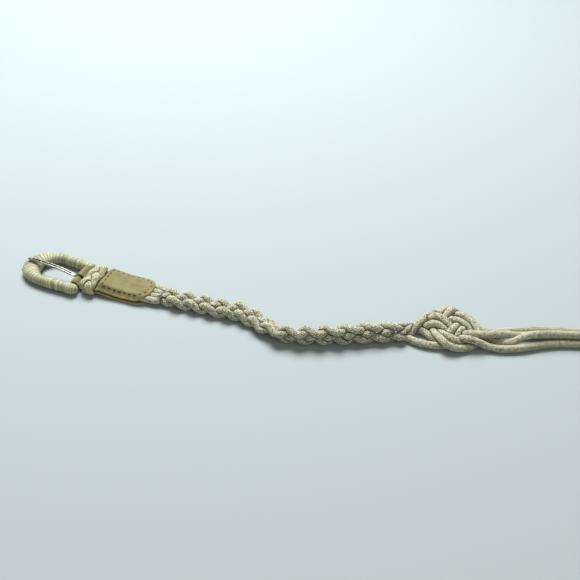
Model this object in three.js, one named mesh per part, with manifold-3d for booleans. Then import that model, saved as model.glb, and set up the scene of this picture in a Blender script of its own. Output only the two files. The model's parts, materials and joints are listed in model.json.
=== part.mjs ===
// A braided cotton cord belt with a thread-wrapped buckle, lying flat. Millimetres, +Z up.
//
// The belt runs roughly along +X, buckle first. Four cords leave a stitched leather tab, are braided into a
// flat band that rolls onto its edge, are knotted together as two pairs, and end as four loose tails.
import * as THREE from 'three';
import { mergeVertices } from 'three/addons/utils/BufferGeometryUtils.js';
import Module from 'manifold-3d';

const wasm = await Module();
wasm.setup();

// Driving dimensions
const GAP = 0.3; // air between neighbouring pieces
const LAP = 1.0; // how far two stretches of one solid run into each other
const DEG = Math.PI / 180;
const UP = new THREE.Vector3(0, 0, 1);

const CORD = { width: 4.9, height: 4.3, sides: 6, step: 3.7 }; // soft cotton cord, a little flattened
const TAIL = { width: 4.6, height: 4.6, sides: 8, step: 4.8 }; // the same cord, hanging loose and round

const BUCKLE = {
  axisHeight: 3.75, // the crossbar's centre line, above the surface
  place: [-140.1, 7.8], // the middle of the crossbar in plan
  direction: -25.2, // the frame's long axis in plan, degrees
  arm: 13.4, // middle to an arm's centre line, at the bend
  armAtBar: 12.3, // the same at the crossbar
  straight: 21.1, // straight length of an arm
  reach: 38.0, // crossbar to the centre line of the round end
  core: 1.3, // radius of the metal ring
  wrap: 3.75, // radius over the wound thread
  widening: 1.9, // how much wider the section is at the round end
  frontEnd: 1.6, // where the winding ends on the front arm, past the crossbar
  backEnd: -5.4, // and on the back arm, short of it
  bevel: 0.9, // length of the bevel there
  bevelShare: 0.72, // share of the section that it leaves
};
const PRONG = {
  width: 2.7,
  thickness: 1.7,
  offset: -1.3, // beside the frame's middle line
  eyeInner: 2.0,
  eyeOuter: 3.1,
  tip: 42.0, // crossbar to the tip
  step: 2.6,
  tipWide: 0.55, // shares of the section that are left at the tip
  tipHigh: 0.6,
};
const SLOT = { play: 0.3, reachPlay: 0.4 }; // room for the prong in the leather, past the usual gap
const TAB = {
  direction: -20.5,
  offset: 2.6, // crossbar middle to the tab's middle line
  leather: 1.3,
  halfWidth: 11.25, // over the cords
  neckFront: 10.5, // half widths at the fold and under the keeper
  neckBack: 7.4,
  length: 52.4, // crossbar to the rounded end
  corner: 6.5, // radius of the end's corners
  shoulderStart: 15.6,
  shoulderEnd: 17.2,
  dome: 2.8, // how far the top layer drops at its long edges
  domeStart: 7.4,
  riseStart: 16.0, // where the top layer climbs from the neck onto the cords
  riseEnd: 20.8,
  lift: 1.8, // how far the keeper holds the strip off the surface
};
const KEEPER = { start: 5.0, end: 15.2, side: 2.6, top: 3.8, bottom: 1.5, corner: 3.2 };
const CORDS_IN_TAB = { start: 22, spacing: 4.3, height: 3.7, clearance: 0.2, step: 3.5 };

// The braid: its pitch, the sideways swing of a strand, its rise at a crossing, and the share of a slower
// wave that makes all crossings alike. The swing narrows where the band rolls onto its edge.
const BRAID = {
  pitch: 47,
  swing: 4.4,
  rolledSwing: 3.9,
  rise: 2.1,
  slow: 0.17,
  liftShare: 1.085, // the highest rise of a strand, as a share of the rise above
  shift: 6.7,
  start: 56.3, // where it leaves the tab, from the crossbar
  joinLength: 12,
  step: 2.2,
};

// Centre line of the braid in plan, with its roll about its own length
const BRAID_ROUTE = [
  { x: -88, y: -10.6, roll: 0 },
  { x: -75, y: -14.9, roll: 0 },
  { x: -60, y: -19.6, roll: 0 },
  { x: -45, y: -25, roll: 0 },
  { x: -32, y: -28.8, roll: 0 },
  { x: -25.6, y: -33, roll: 2 },
  { x: -19.8, y: -38.2, roll: 10 },
  { x: -12, y: -46.4, roll: 36 },
  { x: -5, y: -51.2, roll: 60 },
  { x: 4, y: -53.2, roll: 76 },
  { x: 16, y: -53.6, roll: 82 },
  { x: 30, y: -53.2, roll: 96 },
  { x: 45, y: -51.6, roll: 114 },
  { x: 58, y: -50.4, roll: 126 },
  { x: 70, y: -49.4, roll: 130 },
];

// The knot, a double carrick knot: where each cord's centre line runs, in plan, and its height. Cords 1 and 2
// are the front pair and cords 3 and 4 the back pair. Heights near 7 are where a cord passes over another.
const KNOT_START = 77.7; // the braid ends and the knot begins here, in x
const KNOT_ROUTES = [
  [
    { x: 71, y: -50.4, z: 2.5 },
    { x: 75.6, y: -53.4, z: 2.4 },
    { x: 80.2, y: -56.2, z: 2.4 },
    { x: 86.2, y: -58, z: 2.4 },
    { x: 92.5, y: -58.6, z: 2.4 },
    { x: 98, y: -57.8, z: 2.4 },
    { x: 101.6, y: -55.4, z: 3.4 },
    { x: 104.2, y: -52.2, z: 6 },
    { x: 106, y: -49.2, z: 6.5 },
    { x: 108.4, y: -45.6, z: 4.8 },
    { x: 110.3, y: -41.8, z: 3 },
    { x: 111.2, y: -37, z: 2.6 },
    { x: 109, y: -32, z: 3.4 },
    { x: 104, y: -28.6, z: 4 },
    { x: 97, y: -27.8, z: 4 },
    { x: 91, y: -30, z: 3.2 },
    { x: 86.8, y: -34, z: 2.8 },
    { x: 84.2, y: -38, z: 2.8 },
    { x: 84.2, y: -41.6, z: 3.8 },
    { x: 86.8, y: -42.9, z: 5.6 },
    { x: 89, y: -42.4, z: 6.5 },
    { x: 92.1, y: -43.2, z: 6.6 },
    { x: 95.6, y: -45.5, z: 5.6 },
    { x: 99, y: -48.4, z: 3.4 },
    { x: 101.8, y: -52, z: 2.6 },
    { x: 104.6, y: -55.4, z: 5.4 },
    { x: 107.4, y: -57.6, z: 7.2 },
    { x: 112, y: -58.6, z: 6.8 },
    { x: 116.6, y: -59.2, z: 4.9 },
    { x: 121.6, y: -60.2, z: 3 },
  ],
  [
    { x: 76.5, y: -43.5, z: 4.6 },
    { x: 81.7, y: -44.3, z: 2.9 },
    { x: 85.6, y: -47.6, z: 2.4 },
    { x: 89.4, y: -52, z: 2.4 },
    { x: 93.6, y: -53.6, z: 2.8 },
    { x: 97.8, y: -52.4, z: 6 },
    { x: 101, y: -49, z: 8 },
    { x: 104.2, y: -44.6, z: 6.2 },
    { x: 106.5, y: -40.4, z: 3.2 },
    { x: 107.4, y: -36.2, z: 2.5 },
    { x: 103.4, y: -32.6, z: 3 },
    { x: 97, y: -32, z: 3.4 },
    { x: 91, y: -33, z: 3.2 },
    { x: 86.4, y: -36, z: 4.6 },
    { x: 88.3, y: -37.8, z: 7.2 },
    { x: 92.5, y: -38, z: 8.6 },
    { x: 95.9, y: -40.6, z: 8.6 },
    { x: 99.3, y: -44.2, z: 6.6 },
    { x: 102.4, y: -47.8, z: 3.6 },
    { x: 104.6, y: -50.4, z: 3 },
    { x: 107, y: -52.2, z: 5.8 },
    { x: 111.6, y: -53.2, z: 7.2 },
    { x: 117, y: -53.9, z: 7.4 },
    { x: 122.4, y: -54.4, z: 7.6 },
  ],
  [
    { x: 74.2, y: -48, z: 2.6 },
    { x: 76.6, y: -45.6, z: 4.2 },
    { x: 79.5, y: -43, z: 6 },
    { x: 83, y: -39.4, z: 6.8 },
    { x: 86.5, y: -35.6, z: 6.6 },
    { x: 90.5, y: -32.6, z: 5.4 },
    { x: 95, y: -32.4, z: 3.6 },
    { x: 98.7, y: -35.8, z: 3.6 },
    { x: 102.2, y: -39.5, z: 7.2 },
    { x: 106.1, y: -41.6, z: 7.6 },
    { x: 109.7, y: -44.4, z: 6.6 },
    { x: 111.9, y: -46.9, z: 4.6 },
    { x: 112.4, y: -50, z: 2.8 },
    { x: 111.6, y: -53.4, z: 2.4 },
    { x: 109.2, y: -56.2, z: 2.7 },
    { x: 105.4, y: -57.5, z: 4.2 },
    { x: 101.6, y: -57.4, z: 5.8 },
    { x: 97.3, y: -55, z: 6.7 },
    { x: 94, y: -51.2, z: 5.8 },
    { x: 93, y: -46.4, z: 2.8 },
    { x: 94.2, y: -41, z: 2.6 },
    { x: 97, y: -37.6, z: 5 },
    { x: 99.4, y: -34.8, z: 8 },
    { x: 101.8, y: -31.6, z: 8.2 },
    { x: 105, y: -29.6, z: 6 },
    { x: 108.2, y: -32, z: 3 },
    { x: 110.6, y: -37, z: 2.4 },
    { x: 113.4, y: -41.8, z: 2.4 },
    { x: 117, y: -46.4, z: 2.4 },
    { x: 122.6, y: -51.6, z: 2.4 },
  ],
  [
    { x: 76, y: -41.6, z: 3.6 },
    { x: 80.5, y: -39.4, z: 3 },
    { x: 85, y: -35, z: 3.2 },
    { x: 90, y: -30.8, z: 3.6 },
    { x: 95.6, y: -29.4, z: 3 },
    { x: 101, y: -30.4, z: 3 },
    { x: 105.4, y: -32.4, z: 5.2 },
    { x: 109.2, y: -35.5, z: 7.6 },
    { x: 113.2, y: -40.2, z: 7.4 },
    { x: 116, y: -45.4, z: 6.9 },
    { x: 116.8, y: -50, z: 5.2 },
    { x: 115.8, y: -54.6, z: 3 },
    { x: 112.8, y: -58.4, z: 2.4 },
    { x: 107.4, y: -61, z: 2.6 },
    { x: 102.9, y: -62, z: 3.1 },
    { x: 98, y: -62, z: 4.8 },
    { x: 94, y: -59.8, z: 6.5 },
    { x: 91.8, y: -55.4, z: 6.5 },
    { x: 90, y: -49.2, z: 4.4 },
    { x: 89, y: -43.4, z: 2.6 },
    { x: 91, y: -38, z: 2.6 },
    { x: 94, y: -34.2, z: 5 },
    { x: 96.4, y: -31.8, z: 7.4 },
    { x: 98.8, y: -29.8, z: 7 },
    { x: 102.6, y: -27.4, z: 5 },
    { x: 107.4, y: -28.8, z: 2.8 },
    { x: 111.6, y: -33.2, z: 2.4 },
    { x: 115.2, y: -38.8, z: 2.4 },
    { x: 119.6, y: -43.8, z: 2.4 },
    { x: 126, y: -46.2, z: 2.4 },
  ],
];

// The loose tails past the knot, cut plainly at their ends
const TAIL_ROUTES = [
  [
    { x: 129, y: -61.7, z: 2.4 },
    { x: 141.2, y: -61.2, z: 2.4 },
    { x: 154.1, y: -58.2, z: 2.4 },
    { x: 166, y: -56.8, z: 2.4 },
    { x: 187, y: -57.8, z: 2.4 },
  ],
  [
    { x: 128.4, y: -53.4, z: 7 },
    { x: 135, y: -51.2, z: 5 },
    { x: 141.5, y: -49.4, z: 2.8 },
    { x: 150, y: -48.8, z: 2.4 },
    { x: 188, y: -51.8, z: 2.4 },
  ],
  [
    { x: 126.6, y: -54.6, z: 2.4 },
    { x: 130.6, y: -56.4, z: 2.4 },
    { x: 135.6, y: -56.8, z: 3 },
    { x: 140.4, y: -56, z: 5 },
    { x: 145.6, y: -54.8, z: 6.9 },
    { x: 152, y: -54, z: 7.5 },
    { x: 164, y: -53.2, z: 7 },
    { x: 187.5, y: -54.8, z: 6.5 },
  ],
  [
    { x: 138, y: -44.8, z: 2.4 },
    { x: 153.8, y: -43.6, z: 2.4 },
    { x: 169.2, y: -44.6, z: 2.4 },
    { x: 186.5, y: -46.8, z: 2.4 },
  ],
];

// Colours
const cotton = new THREE.MeshStandardMaterial({ color: 0xb9b493, roughness: 0.95, metalness: 0 });
const suede = new THREE.MeshStandardMaterial({ color: 0xb09a6c, roughness: 0.9, metalness: 0 });
const waxedThread = new THREE.MeshStandardMaterial({ color: 0xc4c3a0, roughness: 0.6, metalness: 0 });
const nickel = new THREE.MeshStandardMaterial({ color: 0xc8c8c6, roughness: 0.25, metalness: 1 });

// Geometry helpers
function plan(place, direction) {
  const angle = direction * DEG;
  const along = new THREE.Vector3(Math.cos(angle), Math.sin(angle), 0);
  const across = new THREE.Vector3(-along.y, along.x, 0);
  return (a, l, z) =>
    new THREE.Vector3(place[0], place[1], z).addScaledVector(along, a).addScaledVector(across, l);
}
const frameAt = plan(BUCKLE.place, BUCKLE.direction);
const tabMiddle = plan(BUCKLE.place, TAB.direction)(0, TAB.offset, 0);
const tabAt = plan([tabMiddle.x, tabMiddle.y], TAB.direction);

function polygon(width, height, sides) {
  const shape = new THREE.Shape();
  for (let i = 0; i < sides; i++) {
    const angle = (2 * Math.PI * (i + 0.5)) / sides;
    const x = (width / 2) * Math.cos(angle);
    const y = (height / 2) * Math.sin(angle);
    if (i) shape.lineTo(x, y);
    else shape.moveTo(x, y);
  }
  return shape;
}

function rectangle(x0, y0, x1, y1, radius) {
  const shape = new THREE.Shape();
  shape.moveTo(x0 + radius, y0);
  shape.lineTo(x1 - radius, y0);
  shape.absarc(x1 - radius, y0 + radius, radius, -Math.PI / 2, 0);
  shape.lineTo(x1, y1 - radius);
  shape.absarc(x1 - radius, y1 - radius, radius, 0, Math.PI / 2);
  shape.lineTo(x0 + radius, y1);
  shape.absarc(x0 + radius, y1 - radius, radius, Math.PI / 2, Math.PI);
  shape.lineTo(x0, y0 + radius);
  shape.absarc(x0 + radius, y0 + radius, radius, Math.PI, 1.5 * Math.PI);
  return shape;
}

function extruded(shape, depth, curveSegments, steps = 1) {
  return new THREE.ExtrudeGeometry(shape, { depth, steps, bevelEnabled: false, curveSegments });
}

function closed(geometry) {
  geometry.deleteAttribute('normal');
  geometry.deleteAttribute('uv');
  const merged = mergeVertices(geometry, 1e-4);
  merged.computeVertexNormals();
  return merged;
}

// Sweeps a section along rings, each with its point, its tangent, and how much the section is scaled there
function sweep(section, rings) {
  const steps = rings.length - 1;
  const geometry = extruded(section, steps, 1, steps);
  const places = geometry.attributes.position;
  const point = new THREE.Vector3();
  for (let i = 0; i < places.count; i++) {
    const ring = rings[Math.round(places.getZ(i))];
    const up = UP.clone().addScaledVector(ring.tangent, -UP.dot(ring.tangent)).normalize();
    const across = up.clone().cross(ring.tangent);
    point.copy(ring.point);
    point.addScaledVector(across, places.getX(i) * ring.wide);
    point.addScaledVector(up, places.getY(i) * ring.high);
    places.setXYZ(i, point.x, point.y, point.z);
  }
  return closed(geometry);
}

function ringsAlong(points, step, start = 0, end = Infinity) {
  const curve = new THREE.CatmullRomCurve3(points, false, 'centripetal');
  curve.arcLengthDivisions = points.length * 20;
  curve.updateArcLengths();
  const length = curve.getLength();
  const last = Math.min(end, length);
  const count = Math.max(1, Math.round((last - start) / step));
  return Array.from({ length: count + 1 }, (_, i) => {
    const at = start + ((last - start) * i) / count;
    const u = Math.min(1, at / length);
    return { at, point: curve.getPointAt(u), tangent: curve.getTangentAt(u), wide: 1, high: 1 };
  });
}

function solid(geometry) {
  const { position } = geometry.attributes;
  return new wasm.Manifold(
    new wasm.Mesh({
      numProp: 3,
      vertProperties: new Float32Array(position.array),
      triVerts: new Uint32Array(geometry.index.array),
    }),
  );
}

function surface(body) {
  const mesh = body.getMesh();
  const geometry = new THREE.BufferGeometry();
  geometry.setAttribute('position', new THREE.BufferAttribute(new Float32Array(mesh.vertProperties), 3));
  geometry.setIndex(new THREE.BufferAttribute(new Uint32Array(mesh.triVerts), 1));
  geometry.computeVertexNormals();
  return geometry;
}

// Joins overlapping solids and keeps the outer skin, so that no pocket between them is sealed in
function joined(geometries) {
  const shells = geometries
    .map(solid)
    .reduce((all, next) => all.add(next))
    .decompose();
  return shells.reduce((outer, shell) => (shell.volume() > outer.volume() ? shell : outer));
}

function smooth(value, from, to) {
  const t = Math.min(1, Math.max(0, (value - from) / (to - from)));
  return t * t * (3 - 2 * t);
}

// Buckle frame: a U with a round end that is wider than its arms, closed by the crossbar. On the route, -1 to
// 1 is the round end, and -2 and 2 are where the arms meet the crossbar.
function uPoint(t) {
  const { arm, armAtBar, straight, reach } = BUCKLE;
  const side = Math.sign(t);
  const alongArm = Math.abs(t) - 1;
  if (alongArm > 0) return [straight * (alongArm - 1), side * (arm + (armAtBar - arm) * alongArm)];
  const turn = (t * Math.PI) / 2;
  return [-straight - (reach - straight) * Math.cos(turn), arm * Math.sin(turn)];
}

function frameRings(from, to, count) {
  return Array.from({ length: count + 1 }, (_, i) => {
    const t = from + ((to - from) * i) / count;
    const [a, l] = uPoint(t);
    const [a0, l0] = uPoint(t - 0.02);
    const [a1, l1] = uPoint(t + 0.02);
    const tangent = frameAt(a1, l1, 0).sub(frameAt(a0, l0, 0)).normalize();
    const round = Math.abs(t) < 1 ? Math.cos((t * Math.PI) / 2) ** 2 : 0;
    const wide = 1 + (BUCKLE.widening - 1) * round;
    return { point: frameAt(a, l, BUCKLE.axisHeight), tangent, wide, high: 1 };
  });
}

// The closed ring of wire inside the winding: the U, the crossbar, and a ball at each corner
function core(radius) {
  const section = polygon(2 * radius, 2 * radius, 8);
  const z = BUCKLE.axisHeight;
  const side = BUCKLE.armAtBar;
  const bar = ringsAlong([frameAt(0, -side, z), frameAt(0, side, z)], side);
  return [
    sweep(section, frameRings(-2, 2, 32)),
    sweep(section, bar),
    ball(frameAt(0, -side, z), radius * 1.01),
    ball(frameAt(0, side, z), radius * 1.01),
  ];
}

function ball(at, radius) {
  return closed(new THREE.SphereGeometry(radius, 12, 6).translate(at.x, at.y, at.z));
}

// The winding has a round end past the crossbar in front, and a bevelled one short of the leather at the back
function frameWrap() {
  const { wrap, straight, frontEnd, backEnd, bevel, bevelShare, axisHeight, core: wire } = BUCKLE;
  const section = polygon(2 * wrap, 2 * wrap, 12);
  const front = -2 - frontEnd / straight;
  const back = 2 + backEnd / straight;
  const rings = frameRings(front, back, 32);
  const [, end] = frameRings(back, back + bevel / straight, 1);
  rings.push({ ...end, wide: bevelShare, high: bevelShare });
  const [a, l] = uPoint(front);
  const blank = joined([sweep(section, rings), ball(frameAt(a, l, axisHeight), wrap * 0.995)]);
  const room = joined(core(wire + GAP));
  return surface(blank.subtract(room));
}

// Prong: an eye round the crossbar and a flat bar that lies over the hole and onto the round end
function prong() {
  const { width, thickness, offset, eyeInner, eyeOuter, tip, step, tipWide, tipHigh } = PRONG;
  const eye = new THREE.Shape().absarc(0, 0, eyeOuter, 0, 2 * Math.PI);
  eye.holes.push(new THREE.Path().absarc(0, 0, eyeInner, 0, 2 * Math.PI, true));
  const ring = extruded(eye, width, 12);
  const z = BUCKLE.axisHeight;
  ring.translate(0, 0, -width / 2);
  ring.rotateX(Math.PI / 2);
  ring.rotateZ(BUCKLE.direction * DEG);
  const at = frameAt(0, offset, z);
  ring.translate(at.x, at.y, at.z);
  const overFrame = 2 * BUCKLE.wrap + GAP + thickness / 2;
  // It climbs from the eye, crosses the opening and comes to rest on the round end
  const route = [
    frameAt(-2.5, offset, z + 0.9),
    frameAt(-5.5, offset, z + 2.6),
    frameAt(-15, offset, z + 4.3),
    frameAt(-28, offset, overFrame + 0.2),
    frameAt(-36, offset, overFrame + 0.2),
    frameAt(-39.3, offset, overFrame),
    frameAt(-tip, offset, overFrame - 0.6),
  ];
  const rings = ringsAlong(route, step);
  rings.at(-1).wide = tipWide;
  rings.at(-1).high = tipHigh;
  const bar = sweep(polygon(width * 1.08, thickness * 1.08, 8), rings);
  return surface(joined([closed(ring), bar]));
}

// Leather tab: heights of the strip's underside, and of its top layer's outer face, along the tab
const bottomAt = (a) => TAB.lift * smooth(a, 1, 4.6) * (1 - smooth(a, 16, 34));
const topAt = (a) => {
  const fold = 2 * BUCKLE.axisHeight;
  const flat = bottomAt(a) + 2 * TAB.leather + GAP;
  const overCords = bottomAt(a) + 2 * (TAB.leather + CORDS_IN_TAB.clearance) + CORDS_IN_TAB.height;
  const waist = fold + (flat - fold) * smooth(a, 0.3, 4.6);
  return waist + (overCords - waist) * smooth(a, TAB.riseStart, TAB.riseEnd);
};

function leatherTab() {
  const radius = BUCKLE.axisHeight;
  const stations = [0.8, 1.9, 2.8, 3.7, 4.6, 10, 15.9, 17.4, 19.2, 20.9, 25, 29, 34, 43, TAB.length];
  const side = new THREE.Shape();
  side.moveTo(0, 0);
  stations.forEach((a) => side.lineTo(a, bottomAt(a)));
  [...stations].reverse().forEach((a) => side.lineTo(a, bottomAt(a) + TAB.leather));
  side.lineTo(0, TAB.leather);
  side.absarc(0, radius, radius - TAB.leather, -Math.PI / 2, Math.PI / 2, true);
  stations.forEach((a) => side.lineTo(a, topAt(a) - TAB.leather));
  [...stations].reverse().forEach((a) => side.lineTo(a, topAt(a)));
  side.lineTo(0, 2 * radius);
  side.absarc(0, radius, radius, Math.PI / 2, 1.5 * Math.PI, false);
  const steps = 10;
  const width = 2 * TAB.halfWidth + 1;
  const strip = extruded(side, width, 7, steps);
  strip.translate(0, 0, -width / 2);
  strip.rotateX(Math.PI / 2);
  const places = strip.attributes.position;
  for (let i = 0; i < places.count; i++) {
    const a = places.getX(i);
    const z = places.getZ(i);
    const isTop = z > bottomAt(a) + TAB.leather + 0.05 && a > 0;
    const share = smooth(Math.abs(places.getY(i)), TAB.domeStart, TAB.halfWidth);
    const drop = TAB.dome * share * smooth(a, TAB.riseStart, TAB.riseEnd);
    if (isTop) places.setZ(i, z - drop);
  }
  const blank = solid(closed(strip));
  const outline = new THREE.Shape();
  const { halfWidth, neckFront, neckBack, length, corner, shoulderStart, shoulderEnd } = TAB;
  outline.moveTo(-radius - 1, -neckFront);
  outline.lineTo(shoulderStart, -neckFront);
  outline.lineTo(shoulderEnd, -halfWidth);
  outline.lineTo(length - corner, -halfWidth);
  outline.absarc(length - corner, corner - halfWidth, corner, -Math.PI / 2, 0);
  outline.absarc(length - corner, halfWidth - corner, corner, 0, Math.PI / 2);
  outline.lineTo(shoulderEnd, halfWidth);
  outline.lineTo(shoulderStart, neckBack);
  outline.lineTo(-radius - 1, neckBack);
  const prism = extruded(outline, 20, 6);
  prism.translate(0, 0, -5);
  const slotReach = PRONG.eyeOuter + GAP + SLOT.reachPlay;
  const slotWidth = PRONG.width + 2 * (GAP + SLOT.play);
  const slot = new THREE.BoxGeometry(slotReach + radius + 1, slotWidth, 20);
  slot.translate((slotReach - radius - 1) / 2, PRONG.offset - TAB.offset, radius);
  const body = blank.intersect(solid(closed(prism))).subtract(solid(closed(slot)));
  return intoTab(surface(body));
}

function intoTab(geometry) {
  geometry.rotateZ(TAB.direction * DEG);
  geometry.translate(tabMiddle.x, tabMiddle.y, 0);
  return geometry;
}

// Keeper: a plain band round the tab's neck, as wide as its braid
function keeperLoop() {
  const { start, end, side, top, bottom, corner } = KEEPER;
  const front = -TAB.neckFront - GAP;
  const back = TAB.neckBack + GAP;
  const floor = bottomAt((start + end) / 2);
  const ceiling = floor + 2 * TAB.leather + 0.3 + GAP;
  const band = rectangle(front - side, floor - GAP - bottom, back + side, ceiling + top, corner);
  const hole = rectangle(front, floor - GAP, back, ceiling, 0.1);
  band.holes.push(hole);
  const ring = extruded(band, end - start, 5);
  ring.rotateX(Math.PI / 2);
  ring.rotateZ(Math.PI / 2);
  ring.translate(start, 0, 0);
  return intoTab(closed(ring));
}

// Cords
const braidLine = new THREE.CatmullRomCurve3(
  BRAID_ROUTE.map(({ x, y, roll }) => new THREE.Vector3(x, y, roll)),
  false,
  'centripetal',
);
braidLine.arcLengthDivisions = 800;

// Length along the braid is measured in plan, so the roll held in z must not count
const braidTable = (() => {
  const table = [{ s: 0, at: braidLine.getPoint(0) }];
  for (let i = 1; i <= 800; i++) {
    const at = braidLine.getPoint(i / 800);
    const before = table[i - 1];
    table.push({ s: before.s + Math.hypot(at.x - before.at.x, at.y - before.at.y), at });
  }
  return table;
})();
const BRAID_LENGTH = braidTable.at(-1).s;

function braidPlace(s) {
  const wanted = Math.min(BRAID_LENGTH, Math.max(0, s));
  const next = Math.max(1, braidTable.findIndex((row) => row.s >= wanted));
  const [a, b] = [braidTable[next - 1], braidTable[next]];
  return a.at.clone().lerp(b.at, (wanted - a.s) / (b.s - a.s));
}

function braidPoint(s, strand) {
  const at = braidPlace(s);
  const ahead = braidPlace(s + 2).sub(braidPlace(s - 2)).setZ(0).normalize();
  const back = new THREE.Vector3(-ahead.y, ahead.x, 0);
  const roll = at.z * DEG;
  const across = back.clone().multiplyScalar(Math.cos(roll)).addScaledVector(UP, -Math.sin(roll));
  const out = back.clone().multiplyScalar(Math.sin(roll)).addScaledVector(UP, Math.cos(roll));
  const swing = BRAID.swing + (BRAID.rolledSwing - BRAID.swing) * Math.sin(roll);
  const phase = 2 * Math.PI * ((s - BRAID.shift) / BRAID.pitch + strand / 4);
  const halfWidth = swing + CORD.width / 2;
  const halfHeight = BRAID.rise * BRAID.liftShare + CORD.height / 2;
  const lift = Math.hypot(halfWidth * Math.sin(roll), halfHeight * Math.cos(roll)) + CORDS_IN_TAB.clearance;
  return at
    .setZ(lift)
    .addScaledVector(across, -swing * Math.cos(phase))
    .addScaledVector(out, -BRAID.rise * (Math.sin(3 * phase) + BRAID.slow * Math.sin(phase)));
}

function lengthTo(points, index) {
  const perSpan = 20;
  const curve = new THREE.CatmullRomCurve3(points, false, 'centripetal');
  curve.arcLengthDivisions = (points.length - 1) * perSpan;
  return curve.getLengths()[index * perSpan];
}

// The tab's two layers press the cords a little flatter than they are in the braid
function flattenInTab(ring) {
  const flattened = CORDS_IN_TAB.height / CORD.height;
  const outOfTab = TAB.length - CORDS_IN_TAB.start;
  ring.high = flattened + (1 - flattened) * smooth(ring.at, outOfTab, outOfTab + CORD.width * 1.5);
}

// A block of space between two places along the belt, larger than the belt in every other direction
const BEYOND = 400;
function slab(from, to) {
  const block = new THREE.BoxGeometry(to - from, BEYOND, BEYOND);
  block.translate((from + to) / 2, 0, 0);
  return solid(closed(block));
}

// Each cord's strand in the braid, and its slot, which is its place in the tab from the front
const CORD_TABLE = [
  { strand: 0, slot: 1 },
  { strand: 1, slot: 0 },
  { strand: 3, slot: 3 },
  { strand: 2, slot: 2 },
];

function cordRoute({ strand, slot }, index) {
  const { start, spacing, height, clearance, step } = CORDS_IN_TAB;
  const lateral = (slot - 1.5) * spacing;
  const inTab = (a) => tabAt(a, lateral, bottomAt(a) + TAB.leather + clearance + height / 2);
  const braid = [];
  const lowest = CORD.height / 2 + 0.1;
  for (let a = start; a < BRAID.start - 1; a += step) braid.push(inTab(a));
  for (let s = 1; s < BRAID_LENGTH - 1; s += BRAID.step) {
    braid.push(inTab(BRAID.start + s).lerp(braidPoint(s, strand), smooth(s, -2, BRAID.joinLength)));
  }
  braid.forEach((point) => point.setZ(Math.max(point.z, lowest)));
  const [knot, tail] = [KNOT_ROUTES, TAIL_ROUTES].map((routes) =>
    routes[index].map(({ x, y, z }) => new THREE.Vector3(x, y, z)),
  );
  return { braid, knot, tail };
}

// The cords press into one another in the braid and in the knot, so each of those stretches is one solid
function cordPieces() {
  const section = polygon(CORD.width, CORD.height, CORD.sides);
  const loose = polygon(TAIL.width, TAIL.height, TAIL.sides);
  const pressed = [];
  const tails = [];
  for (const { braid, knot, tail } of CORD_TABLE.map(cordRoute)) {
    const points = [...braid, ...knot, ...tail];
    const afterBraid = lengthTo(points, braid.length);
    const afterKnot = lengthTo(points, braid.length + knot.length - 1);
    const middle = (afterBraid + afterKnot) / 2;
    const stretches = [0, afterBraid, middle, afterKnot];
    for (let i = 0; i < 3; i++) {
      const start = Math.max(0, stretches[i] - LAP);
      const rings = ringsAlong(points, CORD.step, start, stretches[i + 1]);
      rings.forEach((ring) => flattenInTab(ring));
      pressed.push(sweep(section, rings));
    }
    tails.push(sweep(loose, ringsAlong(points, TAIL.step, afterKnot + GAP)));
  }
  const whole = joined(pressed);
  const braid = surface(whole.intersect(slab(KNOT_START - BEYOND, KNOT_START)));
  const knot = surface(whole.intersect(slab(KNOT_START + GAP, KNOT_START + BEYOND)));
  return { braid, knot, tails };
}

// Assembly
function piece(name, geometry, material) {
  const mesh = new THREE.Mesh(geometry, material);
  mesh.name = name;
  return mesh;
}

const cords = cordPieces();
const belt = new THREE.Group();
belt.add(
  piece('buckle_frame', surface(joined(core(BUCKLE.core))), nickel),
  piece('frame_wrap', frameWrap(), waxedThread),
  piece('prong', prong(), nickel),
  piece('leather_tab', leatherTab(), suede),
  piece('keeper_loop', keeperLoop(), cotton),
  piece('braid', cords.braid, cotton),
  piece('knot', cords.knot, cotton),
);
cords.tails.forEach((tail, index) => belt.add(piece(`tail_${index + 1}`, tail, cotton)));

// The origin is under the middle of the whole belt, on the surface that it lies on
const size = new THREE.Box3().setFromObject(belt);
belt.position.set(-(size.min.x + size.max.x) / 2, -(size.min.y + size.max.y) / 2, -size.min.z);
belt.updateMatrixWorld(true);

const group = new THREE.Group();
group.add(belt);
export default group;
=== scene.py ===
# %% [markdown]
# # A braided cord belt
#
# The belt is four soft cotton cords. They leave a stitched leather tab, are braided into a flat band, are
# knotted in two pairs, and run on as four loose tails. The buckle is a ring of wire wound with waxed thread,
# with a prong of bright nickel. The solid model already holds every size, place and moving body, so this
# script only gives the belt its surfaces. Lengths are in millimetres until a mesh is made, in metres.

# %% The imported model
import json

import bpy
import numpy as np
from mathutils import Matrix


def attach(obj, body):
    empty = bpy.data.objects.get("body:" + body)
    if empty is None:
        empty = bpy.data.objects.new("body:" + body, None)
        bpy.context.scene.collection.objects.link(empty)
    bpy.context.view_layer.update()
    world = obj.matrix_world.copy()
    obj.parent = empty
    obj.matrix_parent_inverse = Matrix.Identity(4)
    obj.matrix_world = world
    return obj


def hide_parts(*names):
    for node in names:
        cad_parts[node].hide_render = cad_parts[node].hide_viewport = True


MM = 0.001
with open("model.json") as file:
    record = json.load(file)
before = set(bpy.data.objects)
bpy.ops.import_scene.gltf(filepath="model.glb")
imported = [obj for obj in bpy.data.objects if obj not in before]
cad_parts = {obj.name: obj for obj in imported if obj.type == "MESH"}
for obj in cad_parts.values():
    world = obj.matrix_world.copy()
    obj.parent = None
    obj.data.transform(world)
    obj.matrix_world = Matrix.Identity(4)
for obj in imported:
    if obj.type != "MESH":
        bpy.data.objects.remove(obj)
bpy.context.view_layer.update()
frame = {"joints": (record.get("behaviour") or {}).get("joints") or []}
places = {joint["name"]: np.array(joint["pos_m"]) / MM for joint in frame["joints"]}

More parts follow.
